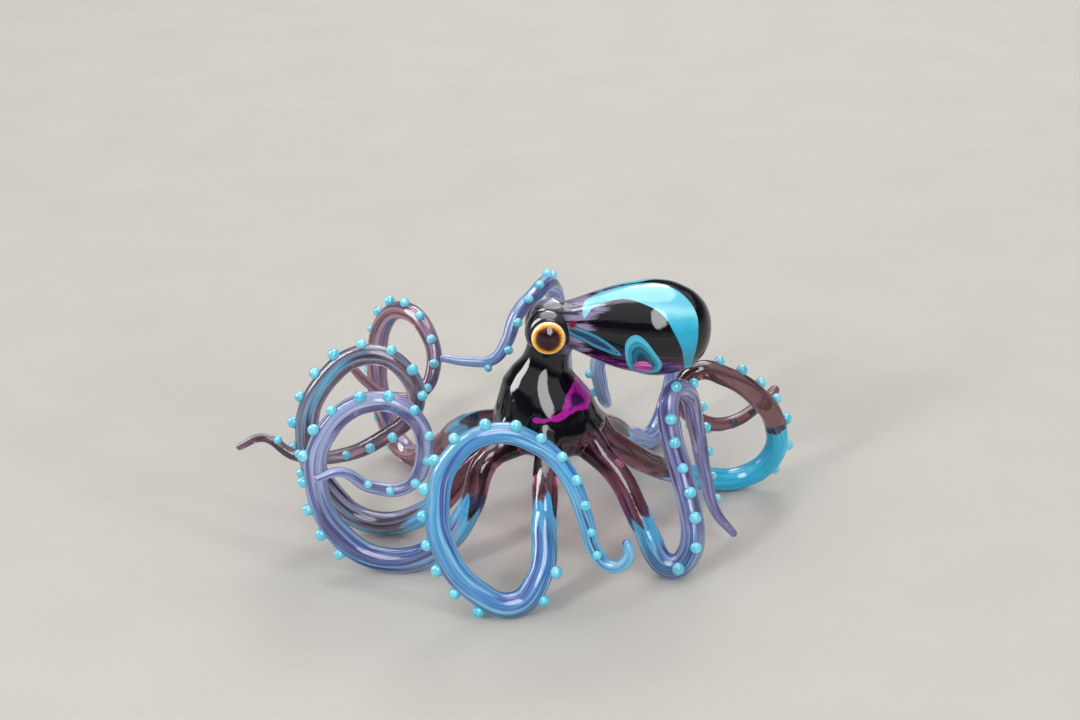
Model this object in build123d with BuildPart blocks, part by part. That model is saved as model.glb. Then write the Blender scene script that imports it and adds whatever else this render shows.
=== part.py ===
# Lampwork glass octopus, standing on its eight curled arms.
# Millimetres, +Z up, +X towards the end of the mantle, +Y away from the near eye.
# The origin is the middle of the space the figurine fills, on the table it stands on.
from build123d import *
from math import cos, radians, sin
import os

os.makedirs("parts", exist_ok=True)

# Place of the upright body axis on the table
body_x = 7.8
body_y = -13.4

# Collar: the clear amethyst gather that carries the eight arms
collar_floor = 24.5
collar_height = 8.5
collar_radius = 13.4
collar_under_radius = 9.5
collar_edge_round = 2.6

# Bell: shoulders, neck and head in one upright gather
bell_height = 32.0
bell_radius = 13.2
# up along the height, out along the radius
bell_profile_shares = [
    (0.00, 1.00),
    (0.08, 0.93),
    (0.18, 0.78),
    (0.33, 0.62),
    (0.50, 0.51),
    (0.66, 0.465),
    (0.81, 0.45),
    (0.94, 0.31),
    (1.00, 0.00),
]

# Mantle: the long head sac that leans back from the head
mantle_length = 38.5
mantle_radius = 11.75
mantle_up_share = 0.80
mantle_droop = 2.5
# along the length, out along the radius
mantle_profile_shares = [
    (0.00, 0.36),
    (0.11, 0.50),
    (0.24, 0.67),
    (0.37, 0.83),
    (0.52, 0.945),
    (0.65, 1.00),
    (0.81, 0.885),
    (0.92, 0.66),
    (0.98, 0.36),
    (1.00, 0.00),
]

# Glass stringers laid on the mantle, alike on both sides
stringer_rise = 0.35
stringer_parting = 0.25
marking_tilt = 22.0
# each point: along the mantle's length, up along its radius
band_upper_shares = [
    (0.205, 0.49),
    (0.43, 0.80),
    (0.62, 0.88),
    (0.75, 0.77),
    (0.845, 0.51),
    (0.89, 0.23),
    (0.90, -0.06),
    (0.895, -0.40),
    (0.87, -0.80),
]
band_lower_shares = [
    (0.835, -0.82),
    (0.80, -0.44),
    (0.74, -0.09),
    (0.685, 0.18),
    (0.59, 0.39),
    (0.43, 0.525),
    (0.26, 0.36),
    (0.19, 0.10),
]
leaf_outer_shares = [
    (0.45, -0.42),
    (0.475, -0.25),
    (0.52, -0.20),
    (0.575, -0.31),
    (0.63, -0.52),
    (0.68, -0.76),
    (0.64, -0.87),
    (0.53, -0.88),
    (0.47, -0.74),
]
leaf_inner_shares = [
    (0.515, -0.74),
    (0.545, -0.67),
    (0.59, -0.68),
    (0.62, -0.76),
    (0.59, -0.81),
    (0.54, -0.80),
]
neck_line_shares = [
    (0.15, -0.22),
    (0.24, -0.32),
    (0.35, -0.50),
    (0.30, -0.57),
    (0.21, -0.49),
    (0.15, -0.39),
]

# Eyes, one on each side of the head
eye_up_share = 0.766
eye_setback = 1.0
socket_radius = 5.7
socket_stand = 3.0
iris_radius = 4.0
iris_thickness = 0.8
pupil_radius = 2.5
lens_rise = 2.1

# Arms: glass rod, thickest where it leaves the collar
rod_radius = 3.1
root_flare = 0.3
root_inset = 4.4
root_drop = 3.3
taper_power = 3
table_press = 0.12
section_pitch = 3.2
min_leg_sections = 6
rest_trials = 4
rest_samples = 200
# turns over the rounded tip at which the rod's section is drawn, in degrees
tip_turns = (25, 48, 66, 80)

# Sucker beads, in one row along each arm
bead_pitch = 6.0
bead_base = 0.60
bead_share = 0.23
bead_stand_share = 0.50
bead_gap = 0.12
bead_table_gap = 0.15

# One long reach for every cut
overrun = 200.0

# Each arm: azimuth of its way out, turn from there to its curl's side, reach, rise, tip
# radius, how much of the route is amethyst leg, where the beads start and end on the coil,
# and how the bead row leans: at the start, half way and at the end of the coil.
front_azimuth, front_turn = -90.0, 180.0
front_reach, front_rise, front_tip = 40.0, 41.0, 1.3
front_leg_share = 0.135
front_bead_shares = (0.10, 0.90)
front_lean = (-35.0, 0.0, -100.0)
# out and sideways along the reach, up along the rise
front_route_shares = [
    (0.48, -0.04, 0.60),
    (0.72, -0.05, 0.38),
    (0.93, -0.08, 0.14),
    (1.00, -0.22, 0.00),
    (1.02, -0.46, 0.10),
    (1.00, -0.63, 0.34),
    (0.95, -0.67, 0.61),
    (0.90, -0.59, 0.86),
    (0.85, -0.36, 1.00),
    (0.85, -0.10, 0.94),
    (0.90, 0.09, 0.76),
    (0.95, 0.19, 0.51),
    (0.98, 0.25, 0.32),
    (1.01, 0.35, 0.24),
    (1.01, 0.44, 0.30),
    (0.98, 0.43, 0.38),
]

left_front_azimuth, left_front_turn = 195.0, -90.0
left_front_reach, left_front_rise, left_front_tip = 60.0, 40.0, 1.0
left_front_leg_share = 0.15
left_front_bead_shares = (0.08, 0.90)
left_front_lean = (-10.0, -5.0, -150.0)
left_front_route_shares = [
    (0.30, 0.11, 0.60),
    (0.39, 0.15, 0.31),
    (0.51, 0.14, 0.08),
    (0.72, 0.10, 0.00),
    (0.90, 0.03, 0.16),
    (0.98, -0.02, 0.50),
    (0.92, -0.02, 0.83),
    (0.74, 0.02, 1.00),
    (0.60, 0.06, 0.92),
    (0.555, 0.09, 0.70),
    (0.63, 0.11, 0.49),
    (0.78, 0.10, 0.50),
    (0.90, 0.10, 0.62),
    (1.00, 0.11, 0.60),
]

left_azimuth, left_turn = 175.0, -90.0
left_reach, left_rise, left_tip = 60.0, 44.0, 0.9
left_leg_share = 0.17
left_bead_shares = (0.22, 0.93)
left_lean = (-5.0, -5.0, -170.0)
left_route_shares = [
    (0.34, 0.00, 0.36),
    (0.53, 0.00, 0.07),
    (0.76, 0.00, 0.00),
    (0.94, 0.00, 0.20),
    (1.02, -0.01, 0.50),
    (0.94, -0.03, 0.84),
    (0.75, -0.05, 1.00),
    (0.60, -0.05, 0.89),
    (0.57, -0.03, 0.70),
    (0.70, 0.03, 0.54),
    (0.88, 0.08, 0.45),
    (1.05, 0.10, 0.46),
    (1.18, 0.10, 0.56),
    (1.28, 0.10, 0.50),
]

back_left_azimuth, back_left_turn = 130.0, -90.0
back_left_reach, back_left_rise, back_left_tip = 66.0, 42.0, 1.0
back_left_leg_share = 0.14
back_left_bead_shares = (0.22, 0.92)
back_left_lean = (0.0, 0.0, -60.0)
back_left_route_shares = [
    (0.50, 0.01, 0.42),
    (0.75, -0.02, 0.12),
    (0.94, -0.02, 0.00),
    (1.07, -0.01, 0.22),
    (1.08, 0.01, 0.55),
    (1.00, 0.02, 0.88),
    (0.87, 0.02, 1.00),
    (0.72, 0.03, 0.94),
    (0.64, 0.06, 0.76),
    (0.64, 0.13, 0.61),
    (0.70, 0.23, 0.60),
    (0.76, 0.30, 0.70),
    (0.80, 0.34, 0.80),
]

back_azimuth, back_turn = 92.0, -90.0
back_reach, back_rise, back_tip = 54.0, 51.0, 1.0
back_leg_share = 0.14
back_bead_shares = (0.22, 0.92)
back_lean = (0.0, -20.0, 60.0)
back_route_shares = [
    (0.48, 0.05, 0.38),
    (0.76, 0.00, 0.10),
    (0.98, -0.08, 0.00),
    (1.11, -0.09, 0.16),
    (1.11, -0.09, 0.45),
    (0.98, -0.06, 0.78),
    (0.79, -0.01, 0.97),
    (0.62, 0.06, 0.98),
    (0.49, 0.15, 0.92),
    (0.43, 0.20, 0.80),
    (0.42, 0.26, 0.72),
    (0.42, 0.37, 0.71),
    (0.42, 0.49, 0.73),
]

back_right_azimuth, back_right_turn = 66.0, -90.0
back_right_reach, back_right_rise, back_right_tip = 66.0, 42.0, 1.6
back_right_leg_share = 0.22
back_right_bead_shares = (0.20, 0.92)
back_right_lean = (0.0, 0.0, -60.0)
back_right_route_shares = [
    (0.46, -0.04, 0.40),
    (0.76, -0.01, 0.13),
    (1.00, -0.02, 0.01),
    (1.12, -0.04, 0.20),
    (1.10, -0.07, 0.52),
    (0.98, -0.08, 0.86),
    (0.79, -0.06, 1.00),
    (0.60, -0.02, 0.95),
    (0.49, 0.02, 0.80),
    (0.50, 0.015, 0.64),
    (0.55, 0.02, 0.52),
    (0.62, 0.04, 0.44),
]

right_azimuth, right_turn = 30.0, -90.0
right_reach, right_rise, right_tip = 62.0, 36.0, 1.3
right_leg_share = 0.23
right_bead_shares = (0.20, 0.93)
right_lean = (0.0, 5.0, -60.0)
right_route_shares = [
    (0.32, -0.03, 0.50),
    (0.48, 0.02, 0.30),
    (0.63, 0.08, 0.14),
    (0.79, 0.07, 0.03),
    (0.95, 0.03, 0.01),
    (1.05, -0.03, 0.18),
    (1.045, -0.05, 0.44),
    (0.95, -0.04, 0.69),
    (0.81, -0.01, 0.87),
    (0.70, 0.02, 0.93),
    (0.645, 0.05, 0.82),
    (0.68, 0.08, 0.62),
    (0.78, 0.10, 0.46),
    (0.92, 0.10, 0.40),
    (1.05, 0.10, 0.47),
    (1.15, 0.10, 0.58),
]

right_front_azimuth, right_front_turn = -20.0, 175.0
right_front_reach, right_front_rise, right_front_tip = 36.0, 40.0, 1.0
right_front_leg_share = 0.21
right_front_bead_shares = (0.12, 0.90)
right_front_lean = (-40.0, -30.0, -40.0)
right_front_route_shares = [
    (0.52, -0.16, 0.52),
    (0.70, -0.22, 0.285),
    (0.79, -0.25, 0.15),
    (0.835, -0.26, 0.07),
    (0.90, -0.255, 0.01),
    (0.98, -0.235, 0.005),
    (1.045, -0.20, 0.07),
    (1.06, -0.155, 0.17),
    (1.02, -0.09, 0.31),
    (0.94, -0.01, 0.49),
    (0.82, 0.07, 0.77),
    (0.79, 0.17, 0.96),
    (0.84, 0.31, 0.94),
    (0.90, 0.41, 0.67),
    (0.96, 0.44, 0.36),
    (1.05, 0.44, 0.10),
    (1.19, 0.43, -0.03),
]

# Places worked out from the sizes above
body_foot = Vector(body_x, body_y, 0)
upright = Vector(0, 0, 1)
body_section = Plane(origin=body_foot, x_dir=(1, 0, 0), z_dir=(0, -1, 0))
body_axis = Axis(body_foot, upright)
collar_top = collar_floor + collar_height
arm_root_radius = collar_radius - root_inset
arm_root_height = collar_top - root_drop


def polar(azimuth):
    """Level direction at an azimuth, measured from +X towards +Y."""
    return Vector(cos(radians(azimuth)), sin(radians(azimuth)), 0)


# Collar
with BuildPart() as collar:
    with BuildSketch(body_section) as collar_outline:
        with BuildLine():
            under = Line((0, collar_floor), (collar_under_radius, collar_floor))
            flank = Spline(
                under @ 1,
                (collar_radius, collar_top - collar_edge_round),
                (bell_radius * bell_profile_shares[0][1], collar_top),
            )
            Line(flank @ 1, (0, collar_top))
            Line((0, collar_top), under @ 0)
        make_face()
    revolve(axis=body_axis)
collar.part.label = "arm_collar"
export_step(collar.part, "parts/arm_collar.step")

# Bell
with BuildPart() as bell:
    with BuildSketch(body_section) as bell_outline:
        with BuildLine():
            bell_points = []
            for up_share, out_share in bell_profile_shares:
                bell_points.append((bell_radius * out_share, collar_top + bell_height * up_share))
            crown = Spline(*bell_points)
            Line(crown @ 1, (0, collar_top))
            Line((0, collar_top), crown @ 0)
        make_face()
    revolve(axis=body_axis)
bell.part.label = "body_bell"

# Mantle, revolved about its own drooping axis
mantle_root = body_foot + upright * (collar_top + bell_height * mantle_up_share)
mantle_way = Vector(cos(radians(mantle_droop)), 0, -sin(radians(mantle_droop)))
mantle_section = Plane(origin=mantle_root, x_dir=mantle_way, z_dir=(0, -1, 0))
mantle_axis = Axis(mantle_root, mantle_way)


def mantle_outline(length, radius):
    """Half outline of the mantle as points along and out from its axis."""
    return [(length * along, radius * out) for along, out in mantle_profile_shares]


with BuildPart() as mantle:
    with BuildSketch(mantle_section) as mantle_half:
        with BuildLine():
            back = Spline(*mantle_outline(mantle_length, mantle_radius))
            Line(back @ 1, (0, 0))
            Line((0, 0), back @ 0)
        make_face()
    revolve(axis=mantle_axis)
    add(bell.part, mode=Mode.SUBTRACT)
mantle.part.label = "mantle"

# Layer that the stringers are cut from: a skin over the mantle
with BuildPart() as skin:
    with BuildSketch(mantle_section) as skin_half:
        with BuildLine():
            skin_length = mantle_length + stringer_rise
            skin_radius = mantle_radius + stringer_rise
            back = Spline(*mantle_outline(skin_length, skin_radius))
            Line(back @ 1, (0, 0))
            Line((0, 0), back @ 0)
        make_face()
    revolve(axis=mantle_axis)
    add(mantle.part, mode=Mode.SUBTRACT)
    add(bell.part, mode=Mode.SUBTRACT)

# The stringers are drawn on a plane that faces the near side from a little above
marking_normal = Vector(0, -cos(radians(marking_tilt)), sin(radians(marking_tilt)))
marking_plane = Plane(origin=mantle_root, x_dir=mantle_way, z_dir=marking_normal)
near_half = Plane(origin=body_foot - Vector(0, stringer_parting, 0), z_dir=(0, -1, 0))
mid_plane = Plane(origin=body_foot, z_dir=(0, 1, 0))


def marks(shares):
    """Points on the marking plane from shares of the mantle's length and radius."""
    return [(mantle_length * along, mantle_radius * up) for along, up in shares]


with BuildPart() as band:
    add(skin.part)
    with BuildSketch(marking_plane) as band_outline:
        with BuildLine():
            upper = Spline(*marks(band_upper_shares))
            lower = Spline(*marks(band_lower_shares))
            Line(upper @ 1, lower @ 0)
            Line(lower @ 1, upper @ 0)
        make_face()
    extrude(amount=overrun, mode=Mode.INTERSECT)
    split(bisect_by=near_half, keep=Keep.TOP)
    mirror(about=mid_plane)
band.part.label = "mantle_band"

with BuildPart() as leaf:
    add(skin.part)
    with BuildSketch(marking_plane) as leaf_outline:
        with BuildLine():
            Spline(*marks(leaf_outer_shares), periodic=True)
        make_face()
        with BuildLine():
            Spline(*marks(leaf_inner_shares), periodic=True)
        make_face(mode=Mode.SUBTRACT)
    extrude(amount=overrun, mode=Mode.INTERSECT)
    split(bisect_by=near_half, keep=Keep.TOP)
    mirror(about=mid_plane)
leaf.part.label = "mantle_leaf"

with BuildPart() as heart:
    add(skin.part)
    with BuildSketch(marking_plane) as heart_outline:
        with BuildLine():
            Spline(*marks(leaf_inner_shares), periodic=True)
        make_face()
    extrude(amount=overrun, mode=Mode.INTERSECT)
    split(bisect_by=near_half, keep=Keep.TOP)
    mirror(about=mid_plane)
heart.part.label = "mantle_heart"

with BuildPart() as neck_line:
    add(skin.part)
    with BuildSketch(marking_plane) as neck_outline:
        with BuildLine():
            Spline(*marks(neck_line_shares), periodic=True)
        make_face()
    extrude(amount=overrun, mode=Mode.INTERSECT)
    split(bisect_by=near_half, keep=Keep.TOP)
    mirror(about=mid_plane)
neck_line.part.label = "mantle_neck_line"

# Eyes: a dark bead on the head, then iris, pupil and clear lens stacked outwards
eye_height = collar_top + bell_height * eye_up_share
iris_seat = socket_stand + (socket_radius**2 - iris_radius**2) ** 0.5
iris_face = iris_seat + iris_thickness
lens_radius = (iris_radius**2 + lens_rise**2) / (2 * lens_rise)

for side, outward in (("near", Vector(0, -1, 0)), ("far", Vector(0, 1, 0))):
    eye_centre = body_foot + upright * eye_height - Vector(eye_setback, 0, 0)
    eye_plane = Plane(origin=eye_centre, x_dir=(1, 0, 0), z_dir=outward)
    iris_plane = eye_plane.offset(iris_seat)
    lens_plane = eye_plane.offset(iris_face)
    with BuildPart() as socket:
        with Locations(eye_plane.offset(socket_stand)):
            Sphere(socket_radius)
        split(bisect_by=iris_plane, keep=Keep.BOTTOM)
        split(bisect_by=eye_plane, keep=Keep.TOP)
        add(bell.part, mode=Mode.SUBTRACT)
        add(skin.part, mode=Mode.SUBTRACT)
        add(mantle.part, mode=Mode.SUBTRACT)
    socket.part.label = "eye_socket_" + side
    export_step(socket.part, "parts/eye_socket_" + side + ".step")
    with BuildPart() as iris:
        with BuildSketch(iris_plane):
            Circle(iris_radius)
            Circle(pupil_radius, mode=Mode.SUBTRACT)
        extrude(amount=iris_thickness)
    iris.part.label = "eye_iris_" + side
    export_step(iris.part, "parts/eye_iris_" + side + ".step")
    with BuildPart() as pupil:
        with BuildSketch(iris_plane):
            Circle(pupil_radius)
        extrude(amount=iris_thickness)
    pupil.part.label = "eye_pupil_" + side
    export_step(pupil.part, "parts/eye_pupil_" + side + ".step")
    with BuildPart() as lens:
        with Locations(lens_plane.offset(lens_rise - lens_radius)):
            Sphere(lens_radius)
        split(bisect_by=lens_plane, keep=Keep.TOP)
    lens.part.label = "eye_lens_" + side
    export_step(lens.part, "parts/eye_lens_" + side + ".step")

export_step(bell.part, "parts/body_bell.step")
export_step(mantle.part, "parts/mantle.step")
export_step(band.part, "parts/mantle_band.step")
export_step(leaf.part, "parts/mantle_leaf.step")
export_step(heart.part, "parts/mantle_heart.step")
export_step(neck_line.part, "parts/mantle_neck_line.step")


def route_points(azimuth, reach, rise, route_shares, lift):
    """Points of an arm's centre line, from inside the collar to the tip."""
    out_way = polar(azimuth)
    side_way = polar(azimuth + 90)
    points = []
    for out_share, side_share, up_share in route_shares:
        level = out_way * (reach * out_share) + side_way * (reach * side_share)
        points.append(body_foot + level + upright * (rod_radius + rise * up_share + lift))
    first = points[0] - body_foot
    heading = Vector(first.X, first.Y, 0).normalized()
    root = body_foot + heading * arm_root_radius + upright * arm_root_height
    return [root] + points


def rod_at(share, tip):
    """Radius of the rod at a share of the route: a root flare, then a late taper."""
    flare = root_flare * max(0, 1 - 5 * share) ** 2
    return tip + (rod_radius - tip) * (1 - share**taper_power) + flare


def steady_planes(route, shares):
    """Planes square to the route whose X axes don't wind round it."""
    planes = []
    side = route.tangent_at(shares[0]).cross(upright).normalized()
    for share in shares:
        tangent = route.tangent_at(share)
        side = (side - tangent * side.dot(tangent)).normalized()
        planes.append(Plane(origin=route.position_at(share), x_dir=side, z_dir=tangent))
    return planes


def spaced(start, end, count):
    return [start + (end - start) * step / (count - 1) for step in range(count)]


def lean_at(share, leans):
    """Lean of the bead row, read between its start, middle and end values."""
    if share < 0.5:
        return leans[0] + (leans[1] - leans[0]) * share * 2
    return leans[1] + (leans[2] - leans[1]) * (share * 2 - 1)


def resting_route(azimuth, reach, rise, tip, route_shares):
    """Centre line of an arm, moved up or down until the arm just presses on the table."""
    lift = 0
    for trial in range(rest_trials):
        with BuildLine() as centre:
            Spline(*route_points(azimuth, reach, rise, route_shares, lift))
        route = centre.edges()[0]
        undersides = []
        for share in spaced(0, 1, rest_samples):
            level_part = (1 - route.tangent_at(share).Z ** 2) ** 0.5
            undersides.append(route.position_at(share).Z - rod_at(share, tip) * level_part)
        lift -= min(undersides) + table_press
    return route


def build_arm(name, azimuth, turn, size, leg_share, route_shares, bead_shares, leans):
    reach, rise, tip = size
    route = resting_route(azimuth, reach, rise, tip, route_shares)
    leg_count = max(min_leg_sections, round(route.length * leg_share / section_pitch))
    coil_count = round(route.length * (1 - leg_share) / section_pitch)
    leg_stops = spaced(0, leg_share, leg_count)
    coil_stops = spaced(leg_share, 1, coil_count)
    planes = steady_planes(route, leg_stops + coil_stops[1:])

    with BuildPart() as leg:
        for plane, stop in zip(planes[:leg_count], leg_stops):
            with BuildSketch(plane):
                Circle(rod_at(stop, tip))
        loft()
        add(collar.part, mode=Mode.SUBTRACT)
        add(bell.part, mode=Mode.SUBTRACT)
        split(bisect_by=Plane.XY, keep=Keep.TOP)
    leg.part.label = name + "_leg"
    export_step(leg.part, "parts/" + name + "_leg.step")

    with BuildPart() as coil:
        for plane, stop in zip(planes[leg_count - 1 :], coil_stops):
            with BuildSketch(plane):
                Circle(rod_at(stop, tip))
        for turn_angle in tip_turns:
            with BuildSketch(planes[-1].offset(tip * sin(radians(turn_angle)))):
                Circle(tip * cos(radians(turn_angle)))
        loft()
        split(bisect_by=Plane.XY, keep=Keep.TOP)
    coil.part.label = name + "_coil"
    export_step(coil.part, "parts/" + name + "_coil.step")

    curl_side = polar(azimuth + turn)
    coil_length = route.length * (1 - leg_share)
    bead_count = int(coil_length * (bead_shares[1] - bead_shares[0]) / bead_pitch) + 1
    bead_solids = []
    for share in spaced(bead_shares[0], bead_shares[1], bead_count):
        stop = leg_share + (1 - leg_share) * share
        tangent = route.tangent_at(stop)
        middle = route.position_at(stop)
        level = (curl_side - tangent * curl_side.dot(tangent)).normalized()
        outer = tangent.cross(level).normalized()
        lean = radians(lean_at(share, leans))
        way = outer * cos(lean) + level * sin(lean)
        rod = rod_at(stop, tip)
        bead = bead_base + bead_share * rod
        spot = middle + way * (rod + bead * bead_stand_share)
        if spot.Z - bead > bead_table_gap:
            with BuildPart() as sucker:
                with Locations(Plane(origin=spot, x_dir=tangent, z_dir=way)):
                    Sphere(bead)
                with Locations(Plane(origin=middle, x_dir=way, z_dir=tangent)):
                    Cylinder(rod + bead_gap, bead * 4, mode=Mode.SUBTRACT)
            bead_solids.append(sucker.part)

    with BuildPart() as beads:
        for bead_solid in bead_solids:
            add(bead_solid)
    beads.part.label = name + "_suckers"
    export_step(beads.part, "parts/" + name + "_suckers.step")
    print(name, "route", round(route.length, 1), "beads", len(bead_solids))


build_arm(
    "arm_front",
    front_azimuth,
    front_turn,
    (front_reach, front_rise, front_tip),
    front_leg_share,
    front_route_shares,
    front_bead_shares,
    front_lean,
)
build_arm(
    "arm_left_front",
    left_front_azimuth,
    left_front_turn,
    (left_front_reach, left_front_rise, left_front_tip),
    left_front_leg_share,
    left_front_route_shares,
    left_front_bead_shares,
    left_front_lean,
)
build_arm(
    "arm_left",
    left_azimuth,
    left_turn,
    (left_reach, left_rise, left_tip),
    left_leg_share,
    left_route_shares,
    left_bead_shares,
    left_lean,
)
build_arm(
    "arm_back_left",
    back_left_azimuth,
    back_left_turn,
    (back_left_reach, back_left_rise, back_left_tip),
    back_left_leg_share,
    back_left_route_shares,
    back_left_bead_shares,
    back_left_lean,
)
build_arm(
    "arm_back",
    back_azimuth,
    back_turn,
    (back_reach, back_rise, back_tip),
    back_leg_share,
    back_route_shares,
    back_bead_shares,
    back_lean,
)
build_arm(
    "arm_back_right",
    back_right_azimuth,
    back_right_turn,
    (back_right_reach, back_right_rise, back_right_tip),
    back_right_leg_share,
    back_right_route_shares,
    back_right_bead_shares,
    back_right_lean,
)
build_arm(
    "arm_right",
    right_azimuth,
    right_turn,
    (right_reach, right_rise, right_tip),
    right_leg_share,
    right_route_shares,
    right_bead_shares,
    right_lean,
)
build_arm(
    "arm_right_front",
    right_front_azimuth,
    right_front_turn,
    (right_front_reach, right_front_rise, right_front_tip),
    right_front_leg_share,
    right_front_route_shares,
    right_front_bead_shares,
    right_front_lean,
)
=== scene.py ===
# %% [markdown]
# # A lampwork glass octopus
# The real object is a small figurine that was melted and pulled at a torch: a black
# glass body with a turquoise-striped mantle, amethyst legs and eight curled arms with
# opaque turquoise beads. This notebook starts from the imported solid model, keeps its
# places and sizes, and gives every piece the smooth skin and the finish of flowed glass.

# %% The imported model
import math

import bpy
import numpy as np
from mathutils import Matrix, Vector, kdtree


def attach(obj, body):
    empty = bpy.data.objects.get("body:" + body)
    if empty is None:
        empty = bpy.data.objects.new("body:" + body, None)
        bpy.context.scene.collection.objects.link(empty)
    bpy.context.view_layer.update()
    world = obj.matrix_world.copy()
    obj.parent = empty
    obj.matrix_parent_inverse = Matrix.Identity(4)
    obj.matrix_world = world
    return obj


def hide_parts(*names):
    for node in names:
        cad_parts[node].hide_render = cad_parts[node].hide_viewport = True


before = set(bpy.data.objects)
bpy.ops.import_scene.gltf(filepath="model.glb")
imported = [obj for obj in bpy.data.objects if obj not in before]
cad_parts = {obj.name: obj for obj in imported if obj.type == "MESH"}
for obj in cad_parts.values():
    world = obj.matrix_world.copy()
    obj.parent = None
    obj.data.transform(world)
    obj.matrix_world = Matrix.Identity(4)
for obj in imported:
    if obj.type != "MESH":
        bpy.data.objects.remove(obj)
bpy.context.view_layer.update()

MM = 0.001
print("nodes in the packed model:", len(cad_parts))

# %% [markdown]
# ## Camera
# The photograph was taken from the front and a little above, with a long lens, so the
# figurine shows little perspective. A camera 0.64 m away with an 85 mm lens that looks
# 22 degrees down gives the same framing. An operator acts on all that is selected, so a
# small helper selects only what a step works on, and nothing where it is given nothing.

# %% Camera
def select_only(*pieces):
    """Deselects all but these pieces, and makes the first of them active."""
    bpy.ops.object.select_all(action="DESELECT")
    for piece in pieces:
        piece.select_set(True)
    if pieces:
        bpy.context.view_layer.objects.active = pieces[0]


select_only()
bpy.ops.object.camera_add(location=(0.0048, -0.5875, 0.2808), rotation=(math.radians(68), 0, 0))
camera = bpy.context.object
camera.data.lens = 85
bpy.context.scene.camera = camera
bpy.context.scene.view_settings.view_transform = "Standard"
print("camera at", tuple(round(c, 3) for c in camera.location))

# %% [markdown]
# ## Colours and nodes
# A colour is written as the sRGB hex code that one would pick from the photograph, and
# one function turns it to the linear values that Blender works with. One small function
# adds any shader node, and hands on the output that the next node needs, so a material
# reads from top to bottom like a recipe.

# %% Colours and nodes
def colour(code):
    """Linear RGBA of an sRGB hex colour."""
    parts = [int(code[i : i + 2], 16) / 255 for i in (1, 3, 5)]
    return tuple(p / 12.92 if p < 0.04045 else ((p + 0.055) / 1.055) ** 2.4 for p in parts) + (1,)


def add(tree, kind, *values, out=0, stops=(), eased=True, **settings):
    """Adds a node of any kind with its settings, gives or links its inputs, and returns one
    output. Values go to the inputs in order, a dict names inputs, and stops are a ramp's."""
    node = tree.nodes.new("ShaderNode" + kind)
    for name, value in settings.items():
        setattr(node, name, value)
    if stops:
        node.color_ramp.interpolation = "EASE" if eased else "LINEAR"
        elements = node.color_ramp.elements
        while len(elements) < len(stops):
            elements.new(0.5)
        for element, (position, code) in zip(elements, stops):
            element.position = position
            element.color = colour(code)
    inputs = {}
    for place, value in enumerate(values):
        inputs.update(value if isinstance(value, dict) else {place: value})
    for socket, value in inputs.items():
        if isinstance(value, bpy.types.NodeSocket):
            tree.links.new(value, node.inputs[socket])
        else:
            node.inputs[socket].default_value = value
    return node.outputs[out] if node.outputs else None


# settings that many nodes share: a Map Range with soft ends, and a Mix of two colours,
# whose colour inputs are numbers 6 and 7
SOFT = dict(interpolation_type="SMOOTHSTEP")
BLEND = dict(data_type="RGBA", out=2)
print("turquoise in linear values:", tuple(round(c, 3) for c in colour("#50bedb")))

# %% [markdown]
# ## Habits of flowed glass
# Molten colours never end in a straight line. Where two of them meet, a noise pushes the
# border to and fro, and one colour runs softly into the other over a small width. A noise
# lies about 0.5, so half is taken off before it pushes. And a flame leaves every glass
# with the same polish. Patterns are read in real millimetres, so one step gives these.

# %% Steps that the glasses share
def empty_material(name):
    """A new material and its empty node tree."""
    material = bpy.data.materials.new(name)
    material.use_nodes = True
    material.node_tree.nodes.clear()
    return material, material.node_tree


def swayed(tree, value, noise, amount):
    """A value that a noise pushes up and down."""
    push = add(tree, "Math", noise, 0.5, operation="SUBTRACT")
    return add(tree, "Math", push, amount, value, operation="MULTIPLY_ADD")


def laid_over(tree, under, over, value, low, high, most=1.0):
    """One colour over another, showing more as a value goes from low to high."""
    share = add(tree, "MapRange", value, low, high, 0.0, most, **SOFT)
    return add(tree, "Mix", {0: share, 6: under, 7: over}, **BLEND)


def places_in_mm(tree):
    """The piece's own places, 1 unit to the millimetre."""
    spot = add(tree, "TexCoord", out="Object")
    return add(tree, "VectorMath", {0: spot, "Scale": 1 / MM}, operation="SCALE")


# the least rough that a flame leaves glass, and light that spreads a little in its colour
POLISHED = {"Roughness": 0.03, "IOR": 1.5}
DEEP = {"Subsurface Weight": 0.15, "Subsurface Radius": (0.0012, 0.0012, 0.0016)}
print("flame-polished glass:", POLISHED)

# %% [markdown]
# ## Sizes shared with the solid model
# The body stands a little off the middle of the space the arms fill. Lengths are in
# millimetres here and turned to metres when a mesh is made. Each arm is a row of points
# that its centre line passes: out and sideways from the body in shares of the arm's
# reach, and up in shares of its rise. They are the same points as in the solid model.

# %% Sizes of the body and the rod
BODY = np.array([7.8, -13.4, 0.0])
COLLAR_FLOOR, COLLAR_TOP, COLLAR_RADIUS, COLLAR_UNDER = 24.5, 33.0, 13.4, 9.5
BELL_HEIGHT, BELL_RADIUS = 32.0, 13.2
MANTLE_LENGTH, MANTLE_RADIUS, MANTLE_HEIGHT, MANTLE_DROOP = 38.5, 11.75, 58.6, 2.5
ROD, ROOT_FLARE, TAPER_POWER = 3.1, 0.3, 3
ROOT_OUT, ROOT_UP = 9.0, 29.7
BEAD_PITCH = 6.0
print("mantle in mm:", MANTLE_LENGTH, "long,", 2 * MANTLE_RADIUS, "thick")

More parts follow.
